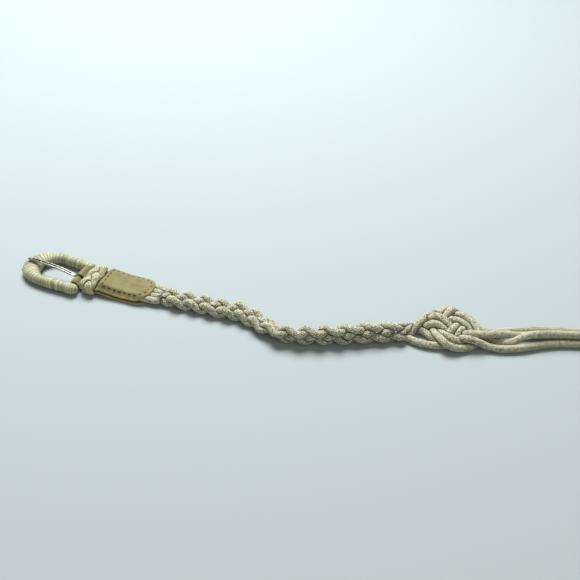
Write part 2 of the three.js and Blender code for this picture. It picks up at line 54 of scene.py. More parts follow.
# %% [markdown]
# ## Where things are
#
# The routes below are written from the middle of the picture, as they were measured. The buckle's crossbar is
# known in both systems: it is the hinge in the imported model. The difference between the two moves every route
# to its place, so nothing has to be fitted by eye.

# %% From the routes' own origin to the model's
CROSSBAR = np.array([-140.1, 7.8, 3.75])
AXIS_HEIGHT = CROSSBAR[2]
SHIFT = places["frame_hinge"] - CROSSBAR
print("routes move by", SHIFT.round(3), "mm")

# %% [markdown]
# ## Camera
#
# The belt lies on a table and is seen from in front and above. The picture is square. Its focal length in
# pixels turns into a lens by the sensor's width. The camera looks at the routes' own origin, which is the
# middle of the picture, and it comes first because the cords are measured against its view.

# %% Camera at the photograph's angle
PICTURE = 580
FOCAL_LENGTH = 930
CAMERA_ELEVATION = np.radians(38.0)
CAMERA_DISTANCE = 620.0
SENSOR = 36.0
NEAREST_SEEN = 10.0


def new_object(name, data):
    """An object with this data, in the scene."""
    made = bpy.data.objects.new(name, data)
    bpy.context.scene.collection.objects.link(made)
    return made


camera = new_object("camera", bpy.data.cameras.new("camera"))
camera.data.sensor_width = SENSOR
camera.data.lens = SENSOR * FOCAL_LENGTH / PICTURE
camera.data.clip_start = NEAREST_SEEN * MM
away = np.array([0, -np.cos(CAMERA_ELEVATION), np.sin(CAMERA_ELEVATION)])
camera.location = (SHIFT + away * CAMERA_DISTANCE) * MM
camera.rotation_euler = (np.pi / 2 - CAMERA_ELEVATION, 0, 0)
bpy.context.scene.camera = camera
print("lens:", round(camera.data.lens, 2), "mm")

# %% [markdown]
# ## Curves and grids
#
# Each piece is a grid of points worked out at once as an array: a section carried along a path. Three small
# tools do that. One draws a smooth curve through chosen points, one steps along it evenly, and one carries a
# section along it. A last one turns a grid into a mesh with its faces outwards and its ends closed.

# %% A smooth curve through chosen points
def smooth_step(value, start, end):
    """Rises from 0 at start to 1 at end as 3t^2 - 2t^3."""
    t = np.clip((value - start) / (end - start), 0, 1)
    return t * t * (3 - 2 * t)


def curve_through(points, per_span=20):
    """A centripetal Catmull-Rom curve: each span is a cubic, and takes a share of the parameter that is the
    root of its length."""
    p = np.asarray(points, float)
    p = np.vstack([2 * p[0] - p[1], p, 2 * p[-1] - p[-2]])
    gap = np.sqrt(np.linalg.norm(np.diff(p, axis=0), axis=1))[:, None]
    p0, p1, p2, p3 = p[:-3], p[1:-2], p[2:-1], p[3:]
    g0, g1, g2 = gap[:-2], gap[1:-1], gap[2:]
    leaving = ((p1 - p0) / g0 - (p2 - p0) / (g0 + g1) + (p2 - p1) / g1) * g1
    arriving = ((p2 - p1) / g1 - (p3 - p1) / (g1 + g2) + (p3 - p2) / g2) * g1
    t = np.linspace(0, 1, per_span, endpoint=False)[None, :, None]
    spans = (
        (2 * t**3 - 3 * t**2 + 1) * p1[:, None]
        + (t**3 - 2 * t**2 + t) * leaving[:, None]
        + (3 * t**2 - 2 * t**3) * p2[:, None]
        + (t**3 - t**2) * arriving[:, None]
    )
    return np.vstack([spans.reshape(-1, p.shape[1]), p[-2]])


def length_along(points):
    """Distance from the first point to each point, along the line."""
    return np.append(0, np.cumsum(np.linalg.norm(np.diff(points, axis=0), axis=1)))


def even_steps(points, step):
    """The same line, with points a step apart, and their distances along it."""
    along = length_along(points)
    distances = np.linspace(0, along[-1], int(round(along[-1] / step)) + 1)
    return np.stack([np.interp(distances, along, column) for column in points.T], axis=1), distances


# %% A section carried along a line
def unit(vectors):
    """Each vector divided by its own length."""
    return vectors / np.linalg.norm(vectors, axis=-1, keepdims=True)


def section_axes(line, upward, closed=False):
    """Across and up at each point: up is the given direction, made square to the line."""
    if closed:
        tangent = unit(np.roll(line, -1, axis=0) - np.roll(line, 1, axis=0))
    else:
        tangent = unit(np.gradient(line, axis=0))
    upward = np.broadcast_to(upward, line.shape)
    up = unit(upward - (upward * tangent).sum(1)[:, None] * tangent)
    return np.cross(up, tangent), up


def carried(line, section_across, section_up, axes):
    """Each ring is the line's point, plus across and up times the section's own coordinates."""
    across, up = axes
    return line[:, None] + across[:, None] * section_across[..., None] + up[:, None] * section_up[..., None]


def full_turn(count):
    """Angles of this many points, evenly round a circle."""
    return 2 * np.pi * np.arange(count) / count


# %% A grid of points becomes a mesh
def smooth_mesh(name, points, faces):
    """An object whose mesh has these points, in millimetres, and these faces."""
    mesh = bpy.data.meshes.new(name)
    mesh.from_pydata((points * MM).tolist(), [], faces)
    mesh.shade_smooth()
    return new_object(name, mesh)


def grid_object(name, grid, pattern=None, ring_closed=True, loop_closed=False, keep=None):
    """Joins neighbours of a grid by four-sided faces. Rings may close round, and the line may close on
    itself; if it doesn't, each end gets a fan of triangles. The pattern is (along, around), as UV values.
    Keep says which faces of an open grid are made, and points that no face needs are dropped."""
    rows, columns = grid.shape[:2]
    steps = rows if loop_closed else rows - 1
    turns = columns if ring_closed else columns - 1
    i, j = (index.ravel() for index in np.meshgrid(np.arange(steps), np.arange(turns), indexing="ij"))
    i1, j1 = i + 1, j + 1
    corner_rows = np.stack([i, i, i1, i1], 1)
    corner_columns = np.stack([j, j1, j1, j], 1)
    faces = (corner_rows % rows) * columns + corner_columns % columns
    points = grid.reshape(-1, 3)
    if keep is not None:
        used, faces = np.unique(faces[keep.ravel()], return_inverse=True)
        points = points[used]
    faces = faces.reshape(-1, 4).tolist()
    corner_uv = None
    if pattern is not None:
        corner_uv = np.stack([pattern[0][corner_rows], pattern[1][corner_columns]], 2).reshape(-1, 2)
    if ring_closed and not loop_closed:
        points = np.vstack([points, grid[0].mean(0), grid[-1].mean(0)])
        ring = np.arange(columns)
        after = (ring + 1) % columns
        first, last = rows * columns, rows * columns + 1
        top = (rows - 1) * columns
        faces += np.stack([np.full(columns, first), after, ring], 1).tolist()
        faces += np.stack([np.full(columns, last), top + ring, top + after], 1).tolist()
        if pattern is not None:
            cap_uv = np.zeros((6 * columns, 2))
            cap_uv[:, 0] = np.repeat([pattern[0][0], pattern[0][-1]], 3 * columns)
            corner_uv = np.vstack([corner_uv, cap_uv])
    made = smooth_mesh(name, points, faces)
    if pattern is not None:
        layer = made.data.uv_layers.new(name="pattern")
        layer.uv.foreach_set("vector", corner_uv.astype(np.float32).ravel())
    return made


def add_shade(made, values):
    """Keeps one number from 0 to 1 at each point, which the material reads as painted shade: 1 is the
    bottom of a crease, where the shade is darkest.
    """
    spare = len(made.data.vertices) - values.size
    shade = np.append(values.ravel(), np.zeros(spare)).astype(np.float32)
    made.data.attributes.new("crease", "FLOAT", "POINT").data.foreach_set("value", shade)


def report(made):
    """Prints a piece's name and how many faces it has."""
    print(made.name, len(made.data.polygons), "faces")


# %% [markdown]
# ## The cords' routes
#
# Each cord is one soft cotton cord, a little under 5 mm thick and nearly half a metre long. It begins between
# the tab's two layers, where it is glued and stitched, is braided and knotted, and ends in a loose tail, cut
# off square. A cloth simulation would let the braid spring apart, so the route is written down: a formula
# for the braid and short tables for the knot and the tails. The tables repeat the solid model's.

# %% Sizes of the cord, the tab and the braid
CORD_WIDTH = 4.75
CORD_HEIGHT = 4.5
SOLID_CORD = {"width": 4.9, "height": 4.3}
LEATHER = 1.3
TAB = {"direction": -20.5, "offset": 2.6, "length": 52.4, "half_width": 11.25, "corner": 9.4}
NECK = {"front": 10.5, "back": 7.4, "shoulder_start": 14.8, "shoulder_end": 15.8}
DOME = {"front": 2.8, "back": 1.5, "start": 7.4, "rise_start": 14.9, "rise_end": 17.4}
CORDS_IN_TAB = {"start": 26.0, "spacing": 4.3, "height": 3.7, "gap": 0.2, "step": 3.5}
PRESSED_MIDDLE = LEATHER + CORDS_IN_TAB["gap"] + CORDS_IN_TAB["height"] / 2
REST_HEIGHT = 0.1
BRAID = {
    "pitch": 47.0,
    "swing": 4.4,
    "rolled_swing": 3.9,
    "rise": 2.1,
    "slow": 0.17,
    "lift_share": 1.085,
    "shift": 6.7,
    "clearance": 0.2,
    "start": 56.3,
    "join_start": -2.0,
    "join_length": 12.0,
    "margin": 1.0,
    "look_ahead": 2.0,
    "step": 2.2,
}
BRAID_ROUTE = [  # x, y, and the roll about the band's own length in degrees
    (-88.0, -10.6, 0),
    (-75.0, -14.9, 0),
    (-60.0, -19.6, 0),
    (-45.0, -25.0, 0),
    (-32.0, -28.8, 0),
    (-25.6, -33.0, 2),
    (-19.8, -38.2, 10),
    (-12.0, -46.4, 36),
    (-5.0, -51.2, 60),
    (4.0, -53.2, 76),
    (16.0, -53.6, 82),
    (30.0, -53.2, 96),
    (45.0, -51.6, 114),
    (58.0, -50.4, 126),
    (70.0, -49.4, 130),
]

# %% Places along the tab and along the frame
UP = np.array([0.0, 0.0, 1.0])
IN_PLAN = np.array([1, 1, 0])
LIFT = {"height": 1.8, "rise_start": 1, "rise_end": 4.6, "fall_start": 16, "fall_end": 34}


def plan_axes(direction):
    """Unit vectors along and across a direction given in degrees."""
    angle = np.radians(direction)
    return np.array([np.cos(angle), np.sin(angle), 0]), np.array([-np.sin(angle), np.cos(angle), 0])


TAB_ALONG, TAB_ACROSS = plan_axes(TAB["direction"])
TAB_MIDDLE = CROSSBAR * IN_PLAN + TAB_ACROSS * TAB["offset"]


def in_tab(a, lateral, z):
    """From distances along the tab, across it and up, to a point."""
    a, lateral, z = np.broadcast_arrays(a, lateral, z)
    return TAB_MIDDLE + a[..., None] * TAB_ALONG + lateral[..., None] * TAB_ACROSS + z[..., None] * UP


def underside(a):
    """Height of the strip's underside: it lifts at the keeper and lies flat further on."""
    rise = smooth_step(a, LIFT["rise_start"], LIFT["rise_end"])
    return LIFT["height"] * rise * (1 - smooth_step(a, LIFT["fall_start"], LIFT["fall_end"]))


# %% The braid's formula
braid_line = curve_through(BRAID_ROUTE, per_span=60)
braid_lengths = length_along(braid_line[:, :2])
BRAID_LENGTH = braid_lengths[-1]


def braid_place(s):
    """x, y and roll of the band's centre line at a length s along it."""
    return np.stack([np.interp(s, braid_lengths, column) for column in braid_line.T], axis=1)


def braid_points(s, strand):
    """A strand swings sideways as a cosine and rises at three times that rate, so it passes over and under
    its neighbours in turn. Four strands, a quarter turn apart, make the braid."""
    place = braid_place(s)
    ahead = braid_place(s + BRAID["look_ahead"]) - braid_place(s - BRAID["look_ahead"])
    ahead = unit(ahead * IN_PLAN)
    left = np.cross(UP, ahead)
    roll = np.radians(place[:, 2:])
    across = left * np.cos(roll) - UP * np.sin(roll)
    out = left * np.sin(roll) + UP * np.cos(roll)
    swing = BRAID["swing"] + (BRAID["rolled_swing"] - BRAID["swing"]) * np.sin(roll)
    phase = 2 * np.pi * ((s[:, None] - BRAID["shift"]) / BRAID["pitch"] + strand / 4)
    half_width = swing + SOLID_CORD["width"] / 2
    half_height = BRAID["rise"] * BRAID["lift_share"] + SOLID_CORD["height"] / 2
    lift = np.hypot(half_width * np.sin(roll), half_height * np.cos(roll)) + BRAID["clearance"]
    rise = -BRAID["rise"] * (np.sin(3 * phase) + BRAID["slow"] * np.sin(phase))
    return place * IN_PLAN + UP * lift - across * swing * np.cos(phase) + out * rise


print("braid:", round(BRAID_LENGTH), "mm long")

# %% [markdown]
# ## The knot and the tails
#
# The knot is a flat double carrick knot. It is tied with two pairs of cords: the first two tables are the
# front pair, and the last two are the back pair. Each table is one cord's centre line, as places and heights
# in order. A cord is near 2.4 where it lies on the surface, and near 7 where it passes over another.

# %% The knot, cord by cord
KNOTS = [
    [
        (71.0, -50.4, 2.5), (75.6, -53.4, 2.4), (80.2, -56.2, 2.4), (86.2, -58.0, 2.4),
        (92.5, -58.6, 2.4), (98.0, -57.8, 2.4), (101.6, -55.4, 3.4), (104.2, -52.2, 6.0),
        (106.0, -49.2, 6.5), (108.4, -45.6, 4.8), (110.3, -41.8, 3.0), (111.2, -37.0, 2.6),
        (109.0, -32.0, 3.4), (104.0, -28.6, 4.0), (97.0, -27.8, 4.0), (91.0, -30.0, 3.2),
        (86.8, -34.0, 2.8), (84.2, -38.0, 2.8), (84.2, -41.6, 3.8), (86.8, -42.9, 5.6),
        (89.0, -42.4, 6.5), (92.1, -43.2, 6.6), (95.6, -45.5, 5.6), (99.0, -48.4, 3.4),
        (101.8, -52.0, 2.6), (104.6, -55.4, 5.4), (107.4, -57.6, 7.2), (112.0, -58.6, 6.8),
        (116.6, -59.2, 4.9), (121.6, -60.2, 3.0),
    ],
    [
        (76.5, -43.5, 4.6), (81.7, -44.3, 2.9), (85.6, -47.6, 2.4), (89.4, -52.0, 2.4),
        (93.6, -53.6, 2.8), (97.8, -52.4, 6.0), (101.0, -49.0, 8.0), (104.2, -44.6, 6.2),
        (106.5, -40.4, 3.2), (107.4, -36.2, 2.5), (103.4, -32.6, 3.0), (97.0, -32.0, 3.4),
        (91.0, -33.0, 3.2), (86.4, -36.0, 4.6), (88.3, -37.8, 7.2), (92.5, -38.0, 8.6),
        (95.9, -40.6, 8.6), (99.3, -44.2, 6.6), (102.4, -47.8, 3.6), (104.6, -50.4, 3.0),
        (107.0, -52.2, 5.8), (111.6, -53.2, 7.2), (117.0, -53.9, 7.4), (122.4, -54.4, 7.6),
    ],
    [
        (74.2, -48.0, 2.6), (76.6, -45.6, 4.2), (79.5, -43.0, 6.0), (83.0, -39.4, 6.8),
        (86.5, -35.6, 6.6), (90.5, -32.6, 5.4), (95.0, -32.4, 3.6), (98.7, -35.8, 3.6),
        (102.2, -39.5, 7.2), (106.1, -41.6, 7.6), (109.7, -44.4, 6.6), (111.9, -46.9, 4.6),
        (112.4, -50.0, 2.8), (111.6, -53.4, 2.4), (109.2, -56.2, 2.7), (105.4, -57.5, 4.2),
        (101.6, -57.4, 5.8), (97.3, -55.0, 6.7), (94.0, -51.2, 5.8), (93.0, -46.4, 2.8),
        (94.2, -41.0, 2.6), (97.0, -37.6, 5.0), (99.4, -34.8, 8.0), (101.8, -31.6, 8.2),
        (105.0, -29.6, 6.0), (108.2, -32.0, 3.0), (110.6, -37.0, 2.4), (113.4, -41.8, 2.4),
        (117.0, -46.4, 2.4), (122.6, -51.6, 2.4),
    ],
    [
        (76.0, -41.6, 3.6), (80.5, -39.4, 3.0), (85.0, -35.0, 3.2), (90.0, -30.8, 3.6),
        (95.6, -29.4, 3.0), (101.0, -30.4, 3.0), (105.4, -32.4, 5.2), (109.2, -35.5, 7.6),
        (113.2, -40.2, 7.4), (116.0, -45.4, 6.9), (116.8, -50.0, 5.2), (115.8, -54.6, 3.0),
        (112.8, -58.4, 2.4), (107.4, -61.0, 2.6), (102.9, -62.0, 3.1), (98.0, -62.0, 4.8),
        (94.0, -59.8, 6.5), (91.8, -55.4, 6.5), (90.0, -49.2, 4.4), (89.0, -43.4, 2.6),
        (91.0, -38.0, 2.6), (94.0, -34.2, 5.0), (96.4, -31.8, 7.4), (98.8, -29.8, 7.0),
        (102.6, -27.4, 5.0), (107.4, -28.8, 2.8), (111.6, -33.2, 2.4), (115.2, -38.8, 2.4),
        (119.6, -43.8, 2.4), (126.0, -46.2, 2.4),
    ],
]

# %% The loose tails
TAILS = [
    [
        (129.0, -61.7, 2.4), (141.2, -61.2, 2.4), (154.1, -58.2, 2.4), (166.0, -56.8, 2.4),
        (187.0, -57.8, 2.4),
    ],
    [
        (128.4, -53.4, 7.0), (135.0, -51.2, 5.0), (141.5, -49.4, 2.8), (150.0, -48.8, 2.4),
        (188.0, -51.8, 2.4),
    ],
    [
        (126.6, -54.6, 2.4), (130.6, -56.4, 2.4), (135.6, -56.8, 3.0), (140.4, -56.0, 5.0),
        (145.6, -54.8, 6.9), (152.0, -54.0, 7.5), (164.0, -53.2, 7.0), (187.5, -54.8, 6.5),
    ],
    [
        (138.0, -44.8, 2.4), (153.8, -43.6, 2.4), (169.2, -44.6, 2.4), (186.5, -46.8, 2.4),
    ],
]

# %% The four whole cords
CORDS = [
    {"strand": 0, "slot": 1, "number": 1},
    {"strand": 1, "slot": 0, "number": 2},
    {"strand": 3, "slot": 3, "number": 3},
    {"strand": 2, "slot": 2, "number": 4},
]
MIDDLE_SLOT = 1.5
CORD_STEP = 0.36
CORD_SIDES = 36


def eased(line, place, reach=5.0, passes=60):
    """Rounds the line near a place: each pass moves a point half of the way to its neighbours' middle."""
    share = np.exp(-((line - place) ** 2).sum(axis=1) / reach**2)[1:-1, None] / 4
    for _ in range(passes):
        line[1:-1] += share * (line[:-2] - 2 * line[1:-1] + line[2:])
    return line


def cord_line(strand, slot, number):
    """The cord's centre line: straight in the tab, melting into the braid, then the knot and the tail."""
    lateral = (slot - MIDDLE_SLOT) * CORDS_IN_TAB["spacing"]
    a = np.arange(CORDS_IN_TAB["start"], BRAID["start"] - BRAID["margin"], CORDS_IN_TAB["step"])
    straight = in_tab(a, lateral, underside(a) + PRESSED_MIDDLE)
    s = np.arange(BRAID["margin"], BRAID_LENGTH - BRAID["margin"], BRAID["step"])
    ahead = in_tab(BRAID["start"] + s, lateral, PRESSED_MIDDLE)
    share = smooth_step(s, BRAID["join_start"], BRAID["join_length"])[:, None]
    braided = ahead + (braid_points(s, strand) - ahead) * share
    first = np.vstack([straight, braided])
    first[:, 2] = np.maximum(first[:, 2], SOLID_CORD["height"] / 2 + REST_HEIGHT)
    whole = np.vstack([first, KNOTS[number - 1], TAILS[number - 1]])
    line, _ = even_steps(curve_through(whole), CORD_STEP)
    return even_steps(eased(line, KNOTS[number - 1][0]), CORD_STEP)


cord_lines, cord_lengths = zip(*(cord_line(**cord) for cord in CORDS))
print("cords:", [round(float(lengths[-1])) for lengths in cord_lengths], "mm long")

# %% [markdown]
# ## The cords' skins
#
# A cotton cord is soft. Where two cords cross, both are pressed flat against each other: each ring of a cord
# is cut back to the plane half way to any other cord that comes nearer than a cord's width. The crease between
# them is darkened with painted shade. The jacket is woven from yarns that run both ways round the cord: that
# relief is a formula of the length along the cord and the angle round it.

# %% Flattening where cords meet
CONTACT_CHUNK = 60  # points of a line that are looked at together
OWN_STRETCH = 14.0  # nearer than this along its length, a cord isn't pressed against itself
CREASE_REACH = 1.0  # how far from the contact a crease's shade fades out
STRAIGHT = 1.8  # how far a cord counts as straight, either way from its nearest point


def press_against(skin, room, line, other, reach, skip):
    """Moves each point of a ring that passes the plane half way to the other line back onto that plane. Room
    keeps each point's least distance to another cord's middle, which counts as straight for a short way."""
    gap = other[None] - line[:, None]
    distance = np.linalg.norm(gap, axis=2)
    distance[skip] = np.inf
    nearest = distance.argmin(1)
    rows = np.arange(len(line))
    closest = distance[rows, nearest]
    beside = closest < reach + 2 * CREASE_REACH
    if not beside.any():
        return
    ahead = unit(np.gradient(other, axis=0))[nearest][beside][:, None]
    offset = skin[beside] - other[nearest][beside][:, None]
    offset = offset - np.clip((offset * ahead).sum(2, keepdims=True), -STRAIGHT, STRAIGHT) * ahead
    room[beside] = np.minimum(room[beside], np.linalg.norm(offset, axis=2))
    near = closest < reach
    direction = gap[rows, nearest][near] / closest[near, None]
    past = ((skin[near] - line[near, None]) * direction[:, None]).sum(2) - closest[near, None] / 2
    skin[near] -= np.maximum(past, 0)[..., None] * direction[:, None]


def crease_shade_share(room, radius):
    """The painted shade: 1 where another cord touches, falling to 0 where it is further off than a crease is
    wide.
    """
    return 1 - smooth_step(room - radius, 0.0, CREASE_REACH)


def press_together(skins, rooms, lines, reach):
    """Presses every tube against every stretch of every other, and against far stretches of itself. It
    goes stretch by stretch, so that a tube that meets another twice is pressed both times."""
    for skin, room, line in zip(skins, rooms, lines):
        index = np.arange(len(line))
        for other in lines:
            for start in range(0, len(other), CONTACT_CHUNK):
                stretch = np.arange(start, min(start + CONTACT_CHUNK, len(other)))
                skip = np.zeros((len(line), len(stretch)), bool)
                if other is line:
                    skip = np.abs(index[:, None] - stretch[None]) * CORD_STEP < OWN_STRETCH
                press_against(skin, room, line, other[stretch], reach, skip)


# %% The weave of a cord's jacket
WEAVE = {"yarns": 9, "pitch": 1.7, "relief": 0.11}


def weave_height(along, around):
    """Two sets of yarns, each a row of rounded ridges on a slant. A cosine along the cord says which set is
    on top, so that each yarn passes over and under the others in turn. 0 is a gap and 1 a yarn's crown."""
    one = np.abs(np.cos(np.pi * (along + around)))
    two = np.abs(np.cos(np.pi * (along - around)))
    over = 0.5 + 0.5 * np.cos(2 * np.pi * along)
    return np.maximum(one * over, two * (1 - over))


def woven(skin, line, pattern, relief):
    """Raises the weave on a tube, outwards from its line."""
    height = weave_height(pattern[0][:, None], pattern[1][None, :-1]) - 0.5
    return skin + unit(skin - line[:, None]) * (relief * height)[..., None]


# %% Four cords, pressed together and woven
angles = full_turn(CORD_SIDES)
wide, high = CORD_WIDTH / 2 * np.cos(angles), CORD_HEIGHT / 2 * np.sin(angles)
cord_skins = [carried(line, wide, high, section_axes(line, UP)) for line in cord_lines]
cord_rooms = [np.full(skin.shape[:2], np.inf) for skin in cord_skins]
press_together(cord_skins, cord_rooms, cord_lines, CORD_WIDTH)

around = np.linspace(0, WEAVE["yarns"], CORD_SIDES + 1)
cords = []
for number, (skin, line, lengths) in enumerate(zip(cord_skins, cord_lines, cord_lengths), 1):
    skin[..., 2] = np.maximum(skin[..., 2], REST_HEIGHT)
    pattern = (lengths / WEAVE["pitch"], around)
    skin = woven(skin, line, pattern, WEAVE["relief"])
    cord = grid_object(f"cotton_cord_{number}", skin + SHIFT, pattern)
    # painted shade in the creases where cords touch
    add_shade(cord, crease_shade_share(cord_rooms[number - 1], CORD_HEIGHT / 2))
    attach(cord, "strap")
    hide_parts("braid", "knot", f"tail_{number}")
    slot = CORDS[number - 1]["slot"]
    exit_point = in_tab(TAB["length"], (slot - MIDDLE_SLOT) * CORDS_IN_TAB["spacing"], PRESSED_MIDDLE)
    cords.append(cord)
    report(cord)

# %% [markdown]
# ## The leather tab
#
# The tab is one strip of suede, folded round the buckle's crossbar so that it has two layers, with the cords
# between them. It is built as the strip's outer face: a grid that runs from one end, round the fold, to the
# other end. Faces are left out where the prong passes through. Solidify then gives the leather its 1.3 mm,
# and Bevel rounds the cut edges a little.

# %% The tab's shape
LAYER_GAP = 0.3
WAIST = {"start": 0.3, "end": 4.6}
SEAM = {"inset": 2.6, "depth": 0.22, "half_width": 0.6, "from_shoulder": 3.6, "corner_points": 10}
CORD_PRINT = {"depth": 0.08, "side_start": 6.0, "side_end": 9.0, "start": 24.0, "full": 44.0}


def top_height(a):
    """Height of the top layer: the fold, then flat under the keeper, then up over the cords."""
    fold = 2 * AXIS_HEIGHT
    flat = underside(a) + 2 * LEATHER + LAYER_GAP
    over_cords = underside(a) + 2 * LEATHER + CORDS_IN_TAB["height"] + 2 * CORDS_IN_TAB["gap"]
    waist = fold + (flat - fold) * smooth_step(a, WAIST["start"], WAIST["end"])
    return waist + (over_cords - waist) * smooth_step(a, DOME["rise_start"], DOME["rise_end"])


def edge_distance(a, lateral):
    """How far a point lies inside the tab's outline, whose end has round corners."""
    past = a - (TAB["length"] - TAB["corner"])
    beside = np.abs(lateral) - (TAB["half_width"] - TAB["corner"])
    in_corner = TAB["corner"] - np.hypot(np.maximum(past, 0), np.maximum(beside, 0))
    straight = np.minimum(TAB["length"] - a, TAB["half_width"] - np.abs(lateral))
    return np.where((past > 0) & (beside > 0), in_corner, straight)


def top_surface(a, lateral):
    """Height of the top layer anywhere: it drops towards its long edges, the seam sinks in as a bell curve,
    and the cords beneath show as a faint cosine."""
    rise = smooth_step(a, DOME["rise_start"], DOME["rise_end"])
    drop = np.where(lateral < 0, DOME["front"], DOME["back"])
    drop = drop * smooth_step(np.abs(lateral), DOME["start"], TAB["half_width"])
    beside_seam = (edge_distance(a, lateral) - SEAM["inset"]) / SEAM["half_width"]
    seam = SEAM["depth"] * np.exp(-(beside_seam**2))
    cord_print = CORD_PRINT["depth"] * np.cos(2 * np.pi * lateral / CORDS_IN_TAB["spacing"] + np.pi)
    cord_print *= 1 - smooth_step(np.abs(lateral), CORD_PRINT["side_start"], CORD_PRINT["side_end"])
    cord_print *= smooth_step(a, CORD_PRINT["start"], CORD_PRINT["full"])
    return top_height(a) - (drop + seam - cord_print) * rise


def half_width(a, neck):
    """Half the strip's width: narrow at the neck, then the full width, then round corners."""
    shoulder = smooth_step(a, NECK["shoulder_start"], NECK["shoulder_end"])
    full = neck + (TAB["half_width"] - neck) * shoulder
    past = np.clip(a - (TAB["length"] - TAB["corner"]), 0, TAB["corner"])
    return full - TAB["corner"] + np.sqrt(TAB["corner"] ** 2 - past**2)


# %% The strip's grid
PRONG = {"width": 2.7, "thickness": 1.6, "offset": -1.3, "eye": 1.95}
PRONG_ROOT = {"width": 2.2, "thickness": 1.0}
SLOT = {"middle": PRONG["offset"] - TAB["offset"], "half_width": 1.4, "reach": 3.5, "rows": 6}
SHOULDER = (15.2, 18.4)
STRIP_ROWS = {"neck": 16, "shoulder": 15, "full": 42, "end": 14, "fold": 19}
STRIP_COLUMNS = (13, 7, 19)  # in front of the slot, across it and behind it
end_of_straight = TAB["length"] - TAB["corner"]
flat_stations = np.concatenate([
    np.linspace(0, SLOT["reach"], SLOT["rows"])[:-1],
    np.linspace(SLOT["reach"], SHOULDER[0], STRIP_ROWS["neck"])[:-1],
    np.linspace(*SHOULDER, STRIP_ROWS["shoulder"])[:-1],
    np.linspace(SHOULDER[1], end_of_straight, STRIP_ROWS["full"])[:-1],
    end_of_straight + TAB["corner"] * np.sin(np.linspace(0, np.pi / 2, STRIP_ROWS["end"])),
])
fold_angles = np.linspace(-np.pi / 2, -3 * np.pi / 2, STRIP_ROWS["fold"])[1:-1]
shares = [np.linspace(0, 1, count) for count in STRIP_COLUMNS]


def strip_columns(a):
    """Lateral places of one row: front band, slot band and back band, so that the slot has its own columns.
    Round the end's corners the whole row draws in."""
    drawn_in = half_width(a, NECK["front"]) / half_width(np.minimum(a, end_of_straight), NECK["front"])
    a = np.minimum(a, end_of_straight)
    front = -half_width(a, NECK["front"])
    back = half_width(a, NECK["back"])
    left = np.full_like(a, SLOT["middle"] - SLOT["half_width"])
    right = np.full_like(a, SLOT["middle"] + SLOT["half_width"])
    bands = [(front, left), (left, right), (right, back)]
    parts = [low[:, None] + (high - low)[:, None] * share for (low, high), share in zip(bands, shares)]
    return np.hstack([parts[0][:, :-1], parts[1][:, :-1], parts[2]]) * drawn_in[:, None]


def strip_rows():
    """The strip's outer face, from the underside's end round the fold to the top's end."""
    bottom_a = flat_stations[::-1]
    lateral = strip_columns(bottom_a)
    bottom = in_tab(bottom_a[:, None], lateral, underside(bottom_a)[:, None])
    fold_a = AXIS_HEIGHT * np.cos(fold_angles)
    fold_z = AXIS_HEIGHT * (1 + np.sin(fold_angles))
    fold = in_tab(fold_a[:, None], strip_columns(fold_a * 0), fold_z[:, None])
    lateral = strip_columns(flat_stations)
    top = in_tab(flat_stations[:, None], lateral, top_surface(flat_stations[:, None], lateral))
    return np.vstack([bottom, fold, top])


# %% The strip becomes leather
EDGE = {"radius": 0.25, "sharper_than": 50}


def outside_slot(rows, columns):
    """Which faces of the strip are leather. The strip's columns are counted from the back."""
    column = np.arange(columns - 1)
    across_slot = (column >= len(shares[2]) - 1) & (column < len(shares[2]) + len(shares[1]) - 2)
    row = np.arange(rows - 1)
    first = len(flat_stations) - SLOT["rows"]
    last = len(flat_stations) + len(fold_angles) + SLOT["rows"] - 1
    along_slot = (row >= first) & (row < last)
    return ~(along_slot[:, None] & across_slot[None])


strip = strip_rows()
leather_faces = outside_slot(*strip.shape[:2])
leather = grid_object("leather_strip", strip[:, ::-1] + SHIFT, ring_closed=False, keep=leather_faces)
wall = leather.modifiers.new("wall", "SOLIDIFY")
wall.thickness = LEATHER * MM
wall.offset = -1
wall.material_offset_rim = 1
edges = leather.modifiers.new("edges", "BEVEL")
edges.width = EDGE["radius"] * MM
edges.segments = 2
edges.limit_method = "ANGLE"
edges.angle_limit = np.radians(EDGE["sharper_than"])
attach(leather, "strap")
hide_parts("leather_tab")
report(leather)

# %% [markdown]
# ## The seam
#
# Dark waxed thread runs round the tab, a little inside its edge, and across it beside the keeper. A stitch
# shows as a short bar that dips into the leather at both ends. One small tube is worked out for every
# stitch at once, with its middle raised, and all of them are one mesh.

# %% Stitches
STITCH = {"pitch": 3.6, "length": 2.4, "thickness": 0.8, "rings": 9, "sides": 8}
STITCH_HEIGHT = {"bulge": 0.12, "sunk": 0.1, "thin_end": 0.15, "under_tab": 0.16, "lowest": 0.03}


def seam_path():
    """A rounded rectangle inside the tab's edge, as distances along and across the tab."""
    inner = TAB["half_width"] - SEAM["inset"]
    radius = TAB["corner"] - SEAM["inset"]
    far = TAB["length"] - SEAM["inset"] - radius
    near = NECK["shoulder_end"] + SEAM["from_shoulder"]
    turn = np.linspace(-np.pi / 2, 0, SEAM["corner_points"])
    front_corner = np.stack([far + radius * np.cos(turn), -(inner - radius) + radius * np.sin(turn)], 1)
    back_corner = front_corner[::-1] * [1, -1]
    return np.vstack([[near, -inner], front_corner, back_corner, [near, inner], [near, -inner]])


